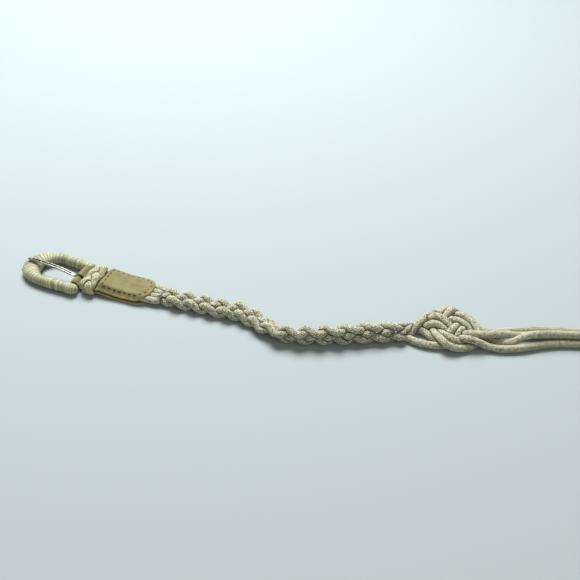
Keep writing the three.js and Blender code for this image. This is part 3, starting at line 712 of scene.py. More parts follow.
def stitch_grid(height):
    """Rings of every stitch: an arc of thread between two holes, thin at its ends. Its height and its
    thickness follow a half circle, the root of one less a square."""
    path = seam_path()
    along = length_along(path)
    count = int(along[-1] / STITCH["pitch"])
    middles = (np.arange(count) + 0.5) * along[-1] / count
    share = np.linspace(-1, 1, STITCH["rings"])
    distance = middles[:, None] + share[None] * STITCH["length"] / 2
    a = np.interp(distance, along, path[:, 0])
    lateral = np.interp(distance, along, path[:, 1])
    bulge = np.sqrt(1 - share**2)
    lines = in_tab(a, lateral, height(a, lateral))
    lines[..., 2] += STITCH_HEIGHT["bulge"] * bulge - STITCH_HEIGHT["sunk"]
    thin = STITCH_HEIGHT["thin_end"]
    radius = STITCH["thickness"] / 2 * (thin + (1 - thin) * bulge)[:, None]
    turn = full_turn(STITCH["sides"])
    wide, high = radius * np.cos(turn), radius * np.sin(turn)
    return [carried(line, wide, high, section_axes(line, UP)) for line in lines]


def joined_tubes(name, tubes):
    """Makes many small closed tubes one object."""
    rows, columns = tubes[0].shape[:2]
    per_tube = rows * columns
    i, j = (index.ravel() for index in np.meshgrid(np.arange(rows - 1), np.arange(columns), indexing="ij"))
    quads = np.stack([i * columns + j, i * columns + (j + 1) % columns], 1)
    quads = np.hstack([quads, quads[:, ::-1] + columns])
    starts = np.arange(len(tubes)) * per_tube
    faces = (quads[None] + starts[:, None, None]).reshape(-1, 4).tolist()
    ring = np.arange(columns)
    faces += (ring[::-1][None] + starts[:, None]).tolist()
    faces += (ring[None] + (rows - 1) * columns + starts[:, None]).tolist()
    return smooth_mesh(name, np.concatenate(tubes).reshape(-1, 3), faces)


above = stitch_grid(top_surface)
below = stitch_grid(lambda a, lateral: underside(a) + STITCH_HEIGHT["under_tab"])
lowest = [-np.inf, -np.inf, STITCH_HEIGHT["lowest"]]
below = [np.maximum(tube, lowest) for tube in below]  # pressed flat by what it lies on
stitches = joined_tubes("tab_stitches", [tube + SHIFT for tube in above + below])
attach(stitches, "strap")
report(stitches)

# %% [markdown]
# ## The keeper
#
# The keeper is a ring of plait round the tab's neck, made as a Turk's head knot is: one strand runs round
# three times, and swings from side to side five times on the way. Each round it is a third of a swing further
# on, so its three passes lie as the three strands of a plait. It rises and falls at twice the rate of its
# swing, and is pressed flat under the tab, where the belt rests.

# %% The ring that the plait follows
KEEPER = {"start": 4.9, "end": 15.2, "gap": 0.3, "corner": 3.0, "rounds": 3, "swings": 5, "swing": 2.6}
KEEPER_CORNER_POINTS = 20
# crease scales the half height that counts as touching, for the painted crease shade
KEEPER_STRAND = {"width": 5.6, "half_height": 0.38, "rise": 0.28, "reach": 4.4, "crease": 1.1}
KEEPER_THICKNESS = {"side": 3.4, "top": 4.6, "bottom": 1.6, "bottom_from": 0.2}


def keeper_ring(distance):
    """A rounded rectangle round the neck. Distance is in rounds: across, up, and the outward direction."""
    middle = (KEEPER["start"] + KEEPER["end"]) / 2
    gap, radius = KEEPER["gap"], KEEPER["corner"]
    low = underside(middle) - gap - KEEPER_THICKNESS["bottom"] / 2
    high = underside(middle) + 2 * LEATHER + LAYER_GAP + gap + KEEPER_THICKNESS["top"] / 2
    front = -NECK["front"] - gap - KEEPER_THICKNESS["side"] / 2
    back = NECK["back"] + gap + KEEPER_THICKNESS["side"] / 2
    centres = [(back - radius, high - radius), (front + radius, high - radius)]
    centres += [(front + radius, low + radius), (back - radius, low + radius)]
    arcs = []
    for quarter, centre in enumerate(centres):
        turn = np.linspace(0, np.pi / 2, KEEPER_CORNER_POINTS) + quarter * np.pi / 2
        arcs.append(np.array(centre) + radius * np.stack([np.cos(turn), np.sin(turn)], 1))
    outline = np.vstack(arcs + [arcs[0][:1]])
    along = length_along(outline)
    along = along / along[-1]
    place = np.stack([np.interp(distance % 1, along, column) for column in outline.T], axis=1)
    ahead = unit(np.roll(place, -2, axis=0) - np.roll(place, 2, axis=0))
    outward = np.stack([ahead[:, 1], -ahead[:, 0]], axis=1)
    return place, outward


# %% One strand, three times round the ring
KEEPER_STEPS = 1260


def keeper_strand():
    """The strand's line, its outward directions, and its half height at each step."""
    distance = np.arange(KEEPER_STEPS) * KEEPER["rounds"] / KEEPER_STEPS
    place, outward = keeper_ring(distance)
    side, top, bottom = (KEEPER_THICKNESS[name] for name in ("side", "top", "bottom"))
    thickness = side + (top - side) * smooth_step(outward[:, 1], 0, 1)
    below = smooth_step(-outward[:, 1], KEEPER_THICKNESS["bottom_from"], 1)
    thickness = thickness + (bottom - thickness) * below
    phase = 2 * np.pi * distance * KEEPER["swings"] / KEEPER["rounds"]
    a = (KEEPER["start"] + KEEPER["end"]) / 2 + KEEPER["swing"] * np.sin(phase)
    place = place + outward * (KEEPER_STRAND["rise"] * thickness * np.sin(2 * phase))[:, None]
    line = in_tab(a, place[:, 0], place[:, 1])
    up = outward[:, :1] * TAB_ACROSS + outward[:, 1:] * UP
    return line, up, KEEPER_STRAND["half_height"] * thickness


def press_rounds(skin, room, line):
    """Presses the strand against its own other two rounds, which lie a third of a swing or more away."""
    index = np.arange(KEEPER_STEPS)
    own_stretch = KEEPER_STEPS / KEEPER["swings"] / 3
    for start in range(0, KEEPER_STEPS, CONTACT_CHUNK):
        stretch = index[start:start + CONTACT_CHUNK]
        apart = np.abs(index[:, None] - stretch[None])
        apart = np.minimum(apart, KEEPER_STEPS - apart)
        press_against(skin, room, line, line[stretch], KEEPER_STRAND["reach"], apart < own_stretch)


keeper_line, keeper_up, half_height = keeper_strand()
wide = KEEPER_STRAND["width"] / 2 * np.cos(angles)
keeper_axes = section_axes(keeper_line, keeper_up, closed=True)
keeper_skin = carried(keeper_line, wide, half_height[:, None] * np.sin(angles), keeper_axes)
keeper_room = np.full(keeper_skin.shape[:2], np.inf)
press_rounds(keeper_skin, keeper_room, keeper_line)
keeper_skin[..., 2] = np.maximum(keeper_skin[..., 2], REST_HEIGHT)
keeper_length = np.linalg.norm(np.roll(keeper_line, -1, axis=0) - keeper_line, axis=1).sum()
keeper_turns = round(keeper_length / WEAVE["pitch"])
keeper_pattern = (np.linspace(0, keeper_turns, KEEPER_STEPS + 1), around)
keeper_skin = woven(keeper_skin, keeper_line, (keeper_pattern[0][:-1], around), WEAVE["relief"] / 2)
keeper = grid_object("keeper_plait", keeper_skin + SHIFT, keeper_pattern, loop_closed=True)
# painted shade in the creases where the plait's rounds touch
add_shade(keeper, crease_shade_share(keeper_room, half_height[:, None] * KEEPER_STRAND["crease"]))
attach(keeper, "strap")
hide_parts("keeper_loop")
report(keeper)

# %% [markdown]
# ## The buckle
#
# The buckle is a ring of wire, bent to a long horseshoe and closed by the crossbar, and wound with waxed
# thread. The winding is one tube whose radius rises and falls with each turn of the thread, so the turns fan
# out round the end by themselves. A real winding is a helix: the turn's number grows by one for each turn
# round the wire, and the formula does the same.

# %% The horseshoe's path
BUCKLE = {
    "direction": -25.2,
    "arm": 13.4,
    "arm_at_bar": 12.3,
    "straight": 21.1,
    "reach": 38.0,
    "wire": 1.3,
    "wrap": 3.75,
    "widening": 1.9,
    "front_end": 1.6,
    "back_end": 1.6,
}
FRAME_ALONG, FRAME_ACROSS = plan_axes(BUCKLE["direction"])


def in_frame(a, lateral, z):
    """From distances along the buckle, across it and up, to a point."""
    a, lateral, z = np.broadcast_arrays(a, lateral, z)
    base = CROSSBAR * IN_PLAN
    return base + a[..., None] * FRAME_ALONG + lateral[..., None] * FRAME_ACROSS + z[..., None] * UP


def horseshoe(t):
    """Along and across at t: -1 to 1 is the round end, an ellipse, and beyond it are the straight arms."""
    arm = np.abs(t) - 1
    straight, reach = BUCKLE["straight"], BUCKLE["reach"]
    turn = np.clip(t, -1, 1) * np.pi / 2
    spread = np.where(arm > 0, BUCKLE["arm"] + (BUCKLE["arm_at_bar"] - BUCKLE["arm"]) * arm,
                      BUCKLE["arm"] * np.abs(np.sin(turn)))
    a = np.where(arm > 0, straight * (arm - 1), -straight - (reach - straight) * np.cos(turn))
    return a, np.sign(t) * spread


# %% The winding
WINDING = {"turn": 2.15, "depth": 0.62, "step": 0.2, "sides": 56, "samples": 4000}
WINDING_END = {"length": 1.5, "rounding": 0.6}
WANDER = {"short": 0.6, "short_length": 3.1, "long": 0.5, "long_length": 7.3}
SLANT = {"tilt": 0.75, "sway": 0.8, "sway_length": 11, "ripple": 0.2, "ripple_length": 5}
TURN_HEIGHTS = {"lowest": -0.34, "highest": 0.14, "count": 200}
RIDGE_ROUNDNESS = 0.96
GROOVE_SHADE_FADE = 1.2
LOWEST_THREAD = 0.02
rng = np.random.default_rng(7)


def winding_rows():
    """t at even steps along the wire, and how far each step is."""
    front = -2 - BUCKLE["front_end"] / BUCKLE["straight"]
    back = 2 + BUCKLE["back_end"] / BUCKLE["straight"]
    t = np.linspace(front, back, WINDING["samples"])
    along = length_along(np.stack(horseshoe(t), 1))
    distance = np.arange(0, along[-1], WINDING["step"])
    return np.interp(distance, along, t), distance


def winding_relief(distance, angle):
    """Each turn is a rounded ridge, the root of one less a square. Sines of the distance make the turns vary
    a little in width and slant, and each has a height of its own."""
    wander = WANDER["short"] * np.sin(distance / WANDER["short_length"])
    wander = wander + WANDER["long"] * np.sin(distance / WANDER["long_length"] + 1.0)
    sway = SLANT["sway"] * np.sin(distance / SLANT["sway_length"])
    ripple = SLANT["ripple"] * np.sin(3 * angle + distance / SLANT["ripple_length"])
    slant = SLANT["tilt"] * np.sin(angle + sway) + ripple
    number = (distance + wander + slant) / WINDING["turn"] + angle / (2 * np.pi)
    across_turn = 2 * (number % 1) - 1
    ridge = np.sqrt(1 - RIDGE_ROUNDNESS * across_turn**2)
    count = TURN_HEIGHTS["count"]
    heights = rng.uniform(TURN_HEIGHTS["lowest"], TURN_HEIGHTS["highest"], count)
    heights = heights[np.floor(number).astype(int) % count]
    return -WINDING["depth"] * (1 - ridge) + heights * ridge, number


t, distance = winding_rows()
a, lateral = horseshoe(t)
line = in_frame(a, lateral, AXIS_HEIGHT)
axes = section_axes(line, UP)
turn = full_turn(WINDING["sides"]) - np.pi / 2
relief, number = winding_relief(distance[:, None], (turn + np.pi / 2)[None])
round_share = np.where(np.abs(t) < 1, np.cos(np.clip(t, -1, 1) * np.pi / 2) ** 2, 0)
wide = BUCKLE["wrap"] * (1 + (BUCKLE["widening"] - 1) * round_share)[:, None]
at_end = smooth_step(distance, distance[-1] - WINDING_END["length"], distance[-1])
back_round = np.sqrt(1 - WINDING_END["rounding"] * at_end**2)[:, None]
winding = carried(
    line,
    (wide + relief) * np.cos(turn) * back_round,
    (BUCKLE["wrap"] + relief) * np.sin(turn) * back_round,
    axes,
)

BESIDE_TAB = {"gap": 0.35, "slack": 2.2, "start": -5.8, "full": -4.4}


def press_beside_leather(skin):
    """The winding's back end lies beside the leather: what would reach past its cut edge is pressed back."""
    place = skin - CROSSBAR
    a, lateral = place @ FRAME_ALONG, place @ FRAME_ACROSS
    edge = NECK["back"] + TAB["offset"] + BESIDE_TAB["gap"]
    limit = edge - BESIDE_TAB["slack"] * (1 - smooth_step(a, BESIDE_TAB["start"], BESIDE_TAB["full"]))
    short = np.where((a > BESIDE_TAB["start"]) & (lateral > 0), np.maximum(limit - lateral, 0), 0)
    return skin + short[..., None] * FRAME_ACROSS


winding = press_beside_leather(winding)
winding[..., 2] = np.maximum(winding[..., 2], LOWEST_THREAD)

# %% The knob at the front end
KNOB_RINGS = 19
quarter = np.linspace(np.pi / 2, 0, KNOB_RINGS + 1)[:-1]
knob_distance = -BUCKLE["wrap"] * np.sin(quarter)
knob_relief, _ = winding_relief(knob_distance[:, None], (turn + np.pi / 2)[None])
ahead = unit(line[1] - line[0])
knob_line = line[0] + knob_distance[:, None] * ahead
knob_radius = (BUCKLE["wrap"] + knob_relief) * np.cos(quarter)[:, None]
knob_axes = [np.repeat(axis[:1], KNOB_RINGS, 0) for axis in axes]
knob = carried(knob_line, knob_radius * np.cos(turn), knob_radius * np.sin(turn), knob_axes)
knob[..., 2] = np.maximum(knob[..., 2], LOWEST_THREAD)
all_distances = np.concatenate([knob_distance, distance])
winding_pattern = (all_distances / WINDING["turn"], np.linspace(0, 1, WINDING["sides"] + 1))
wrap = grid_object("thread_winding", np.vstack([knob, winding]) + SHIFT, winding_pattern)
# painted shade in the grooves between turns, darkest at their bottom
groove_shade = np.clip(-np.vstack([knob_relief, relief]) / WINDING["depth"], 0, 1)
add_shade(wrap, groove_shade**GROOVE_SHADE_FADE)
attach(wrap, "frame")
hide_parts("frame_wrap")
report(wrap)

# %% The ring of wire inside
RING = {"around": 240, "bar": 40, "step": 0.5, "roundings": 6, "sides": 20}
t = np.linspace(-2, 2, RING["around"])
a, lateral = horseshoe(t)
bar = np.linspace(BUCKLE["arm_at_bar"], -BUCKLE["arm_at_bar"], RING["bar"] + 2)[1:-1]
ring_plan = np.stack([np.append(a, bar * 0), np.append(lateral, bar)], 1)
ring_plan, _ = even_steps(np.vstack([ring_plan, ring_plan[:1]]), RING["step"])
ring_plan = ring_plan[:-1]
for _ in range(RING["roundings"]):
    ring_plan = (np.roll(ring_plan, 1, axis=0) + ring_plan * 2 + np.roll(ring_plan, -1, axis=0)) / 4
ring_line = in_frame(ring_plan[:, 0], ring_plan[:, 1], AXIS_HEIGHT)
ring_turn = full_turn(RING["sides"])
wide, high = BUCKLE["wire"] * np.cos(ring_turn), BUCKLE["wire"] * np.sin(ring_turn)
ring_skin = carried(ring_line, wide, high, section_axes(ring_line, UP, closed=True))
ring = grid_object("ring_wire", ring_skin + SHIFT, loop_closed=True)
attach(ring, "frame")
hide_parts("buckle_frame")
report(ring)

# %% [markdown]
# ## The prong
#
# The prong is a flat wire. It is bent round the crossbar, rises over the opening and rests with its tip on
# the round end. A shallow groove runs along its top, which is why the light falls on it in two stripes. The
# groove, and the root where it lies in the leather's slot, are darkened with painted shade.

# %% The prong's line and section
PRONG_ABOVE_THREAD = 1.15
PRONG_EYE = {"start": -135, "end": 95, "points": 16}
PRONG_STEP = 0.3
over_frame = 2 * BUCKLE["wrap"] + PRONG_ABOVE_THREAD
eye_turn = np.radians(np.linspace(PRONG_EYE["start"], PRONG_EYE["end"], PRONG_EYE["points"]))
eye_points = np.stack([PRONG["eye"] * np.cos(eye_turn), AXIS_HEIGHT + PRONG["eye"] * np.sin(eye_turn)], 1)
PRONG_REACH = [  # along the buckle, and above the surface
    (-5.5, AXIS_HEIGHT + 2.6),
    (-15.0, AXIS_HEIGHT + 4.3),
    (-28.0, over_frame + 0.2),
    (-36.0, over_frame + 0.2),
    (-39.3, over_frame),
    (-42.0, over_frame - 0.6),
]
prong_plan, prong_distance = even_steps(curve_through(np.vstack([eye_points, PRONG_REACH])), PRONG_STEP)
prong_line = in_frame(prong_plan[:, 0], PRONG["offset"], prong_plan[:, 1])
prong_tangent = unit(np.gradient(prong_line, axis=0))
prong_across = np.broadcast_to(FRAME_ACROSS, prong_line.shape)
prong_out = np.cross(prong_across, prong_tangent)

# %% The prong's skin
PRONG_SIDES = 48
PRONG_SQUARENESS = {"across": 0.55, "up": 0.7}
PRONG_TIP = {"length": 3.2, "taper": 16, "width": 0.72, "end_width": 0.12, "end_thickness": 0.25}
PAST_ROOT = {"start": 2.5, "end": 8.0}
# darkest is how deep the groove is where its painted shade is full
GROOVE = {"depth": 0.42, "half_width": 0.2, "from_tip": 2.5, "full_from_tip": 5, "darkest": 0.16}
SLOT_SHADE = {"start": 3.4, "end": 4.6}


def flat_wire(angle):
    """A rounded rectangle 1 wide and 1 high: powers of cosine and sine below one give it flat sides."""
    wide = np.sign(np.cos(angle)) * np.abs(np.cos(angle)) ** PRONG_SQUARENESS["across"]
    high = np.sign(np.sin(angle)) * np.abs(np.sin(angle)) ** PRONG_SQUARENESS["up"]
    return wide / 2, high / 2


def between(low, high, share):
    """Low where the share is 0, and high where it is 1."""
    return low + (high - low) * share


wide, high = flat_wire(full_turn(PRONG_SIDES))
left = prong_distance[-1] - prong_distance[:, None]
reached = -prong_plan[:, :1]
tip = np.sqrt(1 - (1 - left / PRONG_TIP["length"]).clip(0) ** 2)
narrow = between(PRONG_TIP["width"], 1, smooth_step(left, 0, PRONG_TIP["taper"]))
past_root = smooth_step(reached, PAST_ROOT["start"], PAST_ROOT["end"])
prong_width = between(PRONG_ROOT["width"], PRONG["width"], past_root)
prong_thickness = between(PRONG_ROOT["thickness"], PRONG["thickness"], past_root)
groove = GROOVE["depth"] * np.exp(-((wide / GROOVE["half_width"]) ** 2)) * (high > 0)
groove = groove * past_root * smooth_step(left, GROOVE["from_tip"], GROOVE["full_from_tip"])
prong_skin = carried(
    prong_line,
    wide * prong_width * narrow * between(PRONG_TIP["end_width"], 1, tip),
    high * prong_thickness * between(PRONG_TIP["end_thickness"], 1, tip) - groove,
    (prong_across, prong_out),
)
prong = grid_object("prong_wire", prong_skin[:, ::-1] + SHIFT)
# painted shade: the groove darkens with its depth, and the root in the leather's slot is painted dark
slot_shade = 1 - smooth_step(reached, SLOT_SHADE["start"], SLOT_SHADE["end"])
add_shade(prong, np.maximum(np.clip(groove / GROOVE["darkest"], 0, 1), slot_shade)[:, ::-1])
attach(prong, "prong")
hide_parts("prong")
report(prong)

# %% [markdown]
# ## Materials
#
# Each finish is a set of nodes. One small function adds a node, sets it and links it, one turns the
# colours, which are written as they look on a screen, into linear light, and one turns the size of a
# pattern's bumps into its scale.

# %% Small tools for materials
def colour(code):
    """A screen colour such as c9c3a4, turned to linear light: the standard curve, near a power of 2.4."""
    value = np.array([int(code[k:k + 2], 16) for k in (0, 2, 4)]) / 255
    linear = np.where(value <= 0.04045, value / 12.92, ((value + 0.055) / 1.055) ** 2.4)
    return (*linear, 1.0)


def per_metre(size):
    """How many bumps of this size in millimetres fit in a metre, which is a noise's scale."""
    return round(1 / (size * MM))


def add_node(tree, kind, inputs=(), **settings):
    """Adds a node of this kind. Each input is a name or number with a value, or with an output to link. A
    mix of colours has its two colours at 6 and 7."""
    made = tree.nodes.new(kind)
    for name, value in settings.items():
        setattr(made, name, value)
    for name, value in inputs:
        if isinstance(value, bpy.types.NodeSocket):
            tree.links.new(value, made.inputs[name])
        else:
            made.inputs[name].default_value = value
    return made


def new_material(name, finish):
    """A material with its tree and its shader, linked to the output. Finish is what the shader is set to."""
    made = bpy.data.materials.new(name)
    made.use_nodes = True
    tree = made.node_tree
    tree.nodes.clear()
    shader = add_node(tree, "ShaderNodeBsdfPrincipled", finish)
    add_node(tree, "ShaderNodeOutputMaterial", [("Surface", shader.outputs[0])])
    return made, tree, shader


def finish_with(material, *objects):
    """Puts the material in the next slot of each piece."""
    for made in objects:
        made.data.materials.append(material)


# %% [markdown]
# ### Cotton cord
#
# The jacket is braided from soft undyed cotton yarns, a little under 2 mm apart along the cord. The eye sees
# a pale, matt, slightly fuzzy surface with small dark points of shade where the yarns dip under each other.
# The same formula as the relief's is written in nodes on the cord's own pattern, so it is sharp even close up;
# it paints a dark shade into the gaps between yarns. The real dark points are too fine for the picture, so a
# speckle of painted shade stands in for them. At about 1.1 mm it is drawn coarser than they are, so that it
# shows. Painted shade also darkens the creases where cords touch. The fuzz is a finer noise, in the bumps only.

# %% Cotton
PATCH = 14.29  # sizes are in millimetres
SPECK = 1.111
FIBRE = 0.3125
YARN_BUMP = 0.25
SPECK_SHADE_SHARE = 0.55
FUZZ_SHARE = 0.35


def painted_crease_shade(tree, tone, crease_shade_tone, most):
    """Paints shade into creases: mixes a dark shade tone in, by the value that each point keeps."""
    depth = add_node(tree, "ShaderNodeAttribute", attribute_name="crease", attribute_type="GEOMETRY")
    share = add_node(tree, "ShaderNodeMath", [(0, depth.outputs["Fac"]), (1, most)], operation="MULTIPLY")
    tones = [("Factor", share.outputs[0]), (6, tone), (7, colour(crease_shade_tone))]
    return add_node(tree, "ShaderNodeMix", tones, data_type="RGBA").outputs[2]


def woven_yarns(tree):
    """The relief's formula in nodes: 0 is a gap between yarns and 1 a yarn's crown."""
    uv = add_node(tree, "ShaderNodeUVMap", uv_map="pattern")
    split = add_node(tree, "ShaderNodeSeparateXYZ", [(0, uv.outputs[0])])
    along, round_it = split.outputs[0], split.outputs[1]
    ridges = []
    for way in ("ADD", "SUBTRACT"):
        slant = add_node(tree, "ShaderNodeMath", [(0, along), (1, round_it)], operation=way)
        turned = add_node(tree, "ShaderNodeMath", [(0, slant.outputs[0]), (1, np.pi)], operation="MULTIPLY")
        wave = add_node(tree, "ShaderNodeMath", [(0, turned.outputs[0])], operation="COSINE")
        ridge = add_node(tree, "ShaderNodeMath", [(0, wave.outputs[0])], operation="ABSOLUTE")
        ridges.append(ridge.outputs[0])
    doubled = add_node(tree, "ShaderNodeMath", [(0, along), (1, 2 * np.pi)], operation="MULTIPLY")
    cosine = add_node(tree, "ShaderNodeMath", [(0, doubled.outputs[0])], operation="COSINE")
    over = add_node(tree, "ShaderNodeMapRange", [("Value", cosine.outputs[0]), ("From Min", -1.0)])
    under = add_node(tree, "ShaderNodeMath", [(0, 1.0), (1, over.outputs[0])], operation="SUBTRACT")
    shown = []
    for ridge, share in zip(ridges, (over, under)):
        product = add_node(tree, "ShaderNodeMath", [(0, ridge), (1, share.outputs[0])], operation="MULTIPLY")
        shown.append(product.outputs[0])
    highest = add_node(tree, "ShaderNodeMath", [(0, shown[0]), (1, shown[1])], operation="MAXIMUM")
    return highest.outputs[0]


def cotton(name, pale, mid, gap_shade_tone, crease_shade_tone):
    """Woven cotton: yarn crowns pale, gaps and specks painted in a dark shade, with patches that are a little
    greyer, and painted shade in the creases.
    """
    finish = [("Roughness", 0.95), ("Specular IOR Level", 0.2)]
    finish += [("Sheen Weight", 0.25), ("Sheen Roughness", 0.6)]
    made, tree, shader = new_material(name, finish)
    weave = woven_yarns(tree)
    where = add_node(tree, "ShaderNodeTexCoord").outputs["Object"]
    noises = []
    for size, detail in ((PATCH, 3.0), (SPECK, 2.0), (FIBRE, 2.0)):
        inputs = [("Vector", where), ("Scale", per_metre(size)), ("Detail", detail)]
        noises.append(add_node(tree, "ShaderNodeTexNoise", inputs))
    patches, specks, fibres = noises

    tones = [("Factor", patches.outputs[0]), (6, colour(mid)), (7, colour(pale))]
    tone = add_node(tree, "ShaderNodeMix", tones, data_type="RGBA")
    mixed = add_node(tree, "ShaderNodeMath", [(0, weave), (1, specks.outputs[0])], operation="MULTIPLY")
    crown = add_node(
        tree, "ShaderNodeMapRange", [("Value", mixed.outputs[0]), ("From Min", 0.06), ("From Max", 0.38)]
    )
    # painted shade in the gaps between yarns
    tones = [("Factor", crown.outputs[0]), (6, colour(gap_shade_tone)), (7, tone.outputs[2])]
    yarns = add_node(tree, "ShaderNodeMix", tones, data_type="RGBA")
    # a speckle of painted shade, standing in for the dips between yarns
    speck_shade = add_node(
        tree, "ShaderNodeMapRange", [("Value", specks.outputs[0]), ("From Min", 0.4), ("From Max", 0.54)]
    )
    share = add_node(
        tree, "ShaderNodeMath", [(0, speck_shade.outputs[0]), (1, SPECK_SHADE_SHARE), (2, 1 - SPECK_SHADE_SHARE)],
        operation="MULTIPLY_ADD",
    )
    tones = [("Factor", share.outputs[0]), (6, colour(gap_shade_tone)), (7, yarns.outputs[2])]
    speck_shaded = add_node(tree, "ShaderNodeMix", tones, data_type="RGBA")
    # painted shade in the creases where cords touch
    final = painted_crease_shade(tree, speck_shaded.outputs[2], crease_shade_tone, most=0.92)
    tree.links.new(final, shader.inputs["Base Color"])

    rough = add_node(
        tree, "ShaderNodeMath", [(0, fibres.outputs[0]), (1, FUZZ_SHARE), (2, weave)],
        operation="MULTIPLY_ADD",
    )
    bump = add_node(
        tree, "ShaderNodeBump",
        [("Strength", 0.8), ("Distance", YARN_BUMP * MM), ("Height", rough.outputs[0])],
    )
    tree.links.new(bump.outputs[0], shader.inputs["Normal"])
    return made


# the last two colours of each cotton are painted shade: in the gaps between yarns, and in the creases
cord_cotton = cotton("braided_cotton_jacket", "e9e9d3", "c9c9ad", "5e5e44", "24241a")
finish_with(cord_cotton, *cords)
keeper_cotton = cotton("plaited_cotton", "dedec0", "c6c6a2", "7c7c58", "2c2c18")
finish_with(keeper_cotton, keeper)
print("cotton on", len(cords) + 1, "pieces")

# %% [markdown]
# ### Waxed thread
#
# The wax fills the thread, so it is smoother than the cords and has a soft sheen on each turn, and the
# grooves between turns are painted in a dark, greenish shade. The groove's place comes from the same formula
# as the relief.

# %% Waxed thread
THREAD_PATCH = 6.25  # sizes are in millimetres
PLY = 0.4545
PLY_BUMP = 0.1


def waxed_thread():
    """Pale green-grey thread, with painted shade in the grooves, and fine plies along each turn."""
    made, tree, shader = new_material("waxed_thread", [("Roughness", 0.5), ("Specular IOR Level", 0.4)])
    where = add_node(tree, "ShaderNodeTexCoord").outputs["Object"]
    patches = add_node(
        tree, "ShaderNodeTexNoise",
        [("Vector", where), ("Scale", per_metre(THREAD_PATCH)), ("Detail", 3.0)],
    )
    tones = [("Factor", patches.outputs[0]), (6, colour("a4a682")), (7, colour("c9cbac"))]
    tone = add_node(tree, "ShaderNodeMix", tones, data_type="RGBA")
    # painted shade in the grooves between turns
    final = painted_crease_shade(tree, tone.outputs[2], "3f3f25", most=0.9)
    tree.links.new(final, shader.inputs["Base Color"])
    plies = add_node(
        tree, "ShaderNodeTexNoise", [("Vector", where), ("Scale", per_metre(PLY)), ("Detail", 2.0)]
    )
    bump = add_node(
        tree, "ShaderNodeBump",
        [("Strength", 0.5), ("Distance", PLY_BUMP * MM), ("Height", plies.outputs[0])],
    )
    tree.links.new(bump.outputs[0], shader.inputs["Normal"])
    return made


finish_with(waxed_thread(), wrap)
print("waxed thread on", wrap.name)

# %% [markdown]
# ### Suede
#
# The tab is sanded leather: matt, with a fine nap, and mottled where hands have flattened it. Its cut edges
# show the paler fibres inside. The grain is about two thirds of a millimetre, and the mottling about eight.
# The seam's dark thread is as matt, so it takes the same nodes with a finer grain.

# %% Suede and its cut edge
MOTTLE = 7.692  # sizes are in millimetres
NAP_SPECK = 0.909
NAP_SPECK_SHARE = 0.45


def suede(name, low, high, grain, grain_depth):
    """Mottled colour from two noises, and a nap from a fine one: its grain is of this size and depth."""
    finish = [("Roughness", 0.92), ("Specular IOR Level", 0.2), ("Sheen Weight", 0.2)]
    made, tree, shader = new_material(name, finish)
    where = add_node(tree, "ShaderNodeTexCoord").outputs["Object"]
    noises = []
    for size, detail in ((MOTTLE, 6.0), (NAP_SPECK, 3.0), (grain, 4.0)):
        inputs = [("Vector", where), ("Scale", per_metre(size)), ("Detail", detail)]
        noises.append(add_node(tree, "ShaderNodeTexNoise", inputs))
    mottle, speck, nap = noises
    both = add_node(
        tree, "ShaderNodeMath", [(0, speck.outputs[0]), (1, NAP_SPECK_SHARE), (2, mottle.outputs[0])],
        operation="MULTIPLY_ADD",
    )
    share = add_node(
        tree, "ShaderNodeMapRange", [("Value", both.outputs[0]), ("From Min", 0.45), ("From Max", 1.0)]
    )
    tones = [("Factor", share.outputs[0]), (6, colour(low)), (7, colour(high))]
    tone = add_node(tree, "ShaderNodeMix", tones, data_type="RGBA")
    tree.links.new(tone.outputs[2], shader.inputs["Base Color"])
    bump = add_node(
        tree, "ShaderNodeBump",
        [("Strength", 0.6), ("Distance", grain_depth * MM), ("Height", nap.outputs[0])],
    )
    tree.links.new(bump.outputs[0], shader.inputs["Normal"])
    return made


finish_with(suede("sanded_suede", "6f6644", "908a60", 0.6667, 0.18), leather)
finish_with(suede("cut_suede_edge", "968a60", "c9bb8c", 0.4167, 0.2), leather)
finish_with(suede("dark_seam_thread", "2f2415", "54432a", 0.3333, 0.1), stitches)
print("suede on", leather.name)

# %% [markdown]
# ### Bright nickel
#
# Plated wire, polished: it mirrors the room, so most of its look is light and dark shapes around it. Faint
# rubbing makes the roughness uneven. Painted shade darkens the prong's groove and its root in the slot.

# %% Nickel
RUBBED_PATCH = 4.0  # millimetres


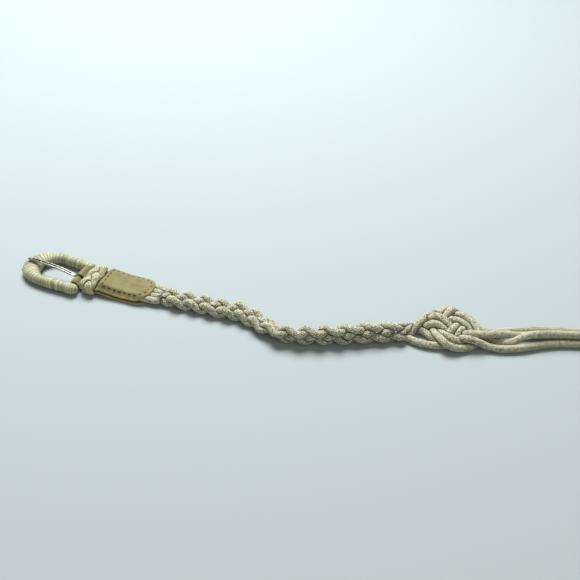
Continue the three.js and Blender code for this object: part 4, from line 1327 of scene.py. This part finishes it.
def polished_nickel():
    """Metal with a low, uneven roughness, and painted shade where the piece keeps a crease value."""
    made, tree, shader = new_material("polished_nickel", [("Metallic", 1.0)])
    where = add_node(tree, "ShaderNodeTexCoord").outputs["Object"]
    rubbed = add_node(
        tree, "ShaderNodeTexNoise",
        [("Vector", where), ("Scale", per_metre(RUBBED_PATCH)), ("Detail", 2.0)],
    )
    rough = add_node(
        tree,
        "ShaderNodeMapRange",
        [("Value", rubbed.outputs[0]), ("From Min", 0.3), ("From Max", 0.7),
         ("To Min", 0.26), ("To Max", 0.34)],
    )
    tree.links.new(rough.outputs[0], shader.inputs["Roughness"])
    tones = [("Factor", rubbed.outputs[0]), (6, colour("a3a39f")), (7, colour("b4b3ae"))]
    plate = add_node(tree, "ShaderNodeMix", tones, data_type="RGBA")
    # painted shade in the prong's groove and in the slot
    final = painted_crease_shade(tree, plate.outputs[2], "161616", most=1.0)
    tree.links.new(final, shader.inputs["Base Color"])
    return made


finish_with(polished_nickel(), prong, ring)
print("nickel on", prong.name, "and", ring.name)

# %% [markdown]
# ## Floor and light
#
# The floor is plain and pale. The light is soft and comes mostly from above and behind, which leaves the
# cords' front sides darker and lays a soft shadow in front of the belt.

# %% Floor
FLOOR = {"size": 6.0, "below": 0.05}
bpy.ops.mesh.primitive_plane_add(size=FLOOR["size"], location=(0, 0, -FLOOR["below"] * MM))
floor = bpy.context.object
floor.name = "floor"
paper, _, _ = new_material("pale_paper", [("Base Color", colour("a2aeb2")), ("Roughness", 0.85)])
finish_with(paper, floor)


# %% Lights
def soft_light(name, place, size, power, tint):
    """A square lamp that faces the belt's middle: place and size in metres, power in watts."""
    lamp = bpy.data.lights.new(name, "AREA")
    lamp.size = size
    lamp.energy = power
    lamp.color = colour(tint)[:3]
    made = new_object(name, lamp)
    made.location = place
    ahead = np.array(place) / np.linalg.norm(place)
    made.rotation_euler = (np.arccos(ahead[2]), 0, np.arctan2(ahead[0], -ahead[1]))


soft_light("key", (-0.15, 0.72, 1.05), 0.7, 31.0, "fdfdfb")
soft_light("fill", (0.3, -0.9, 0.8), 0.9, 2.0, "fff8ea")
world = bpy.data.worlds.new("room")
bpy.context.scene.world = world
world.use_nodes = True
background = world.node_tree.nodes["Background"]
background.inputs["Color"].default_value = colour("f7f1e6")
background.inputs["Strength"].default_value = 0.25
bpy.context.scene.view_settings.view_transform = "Standard"
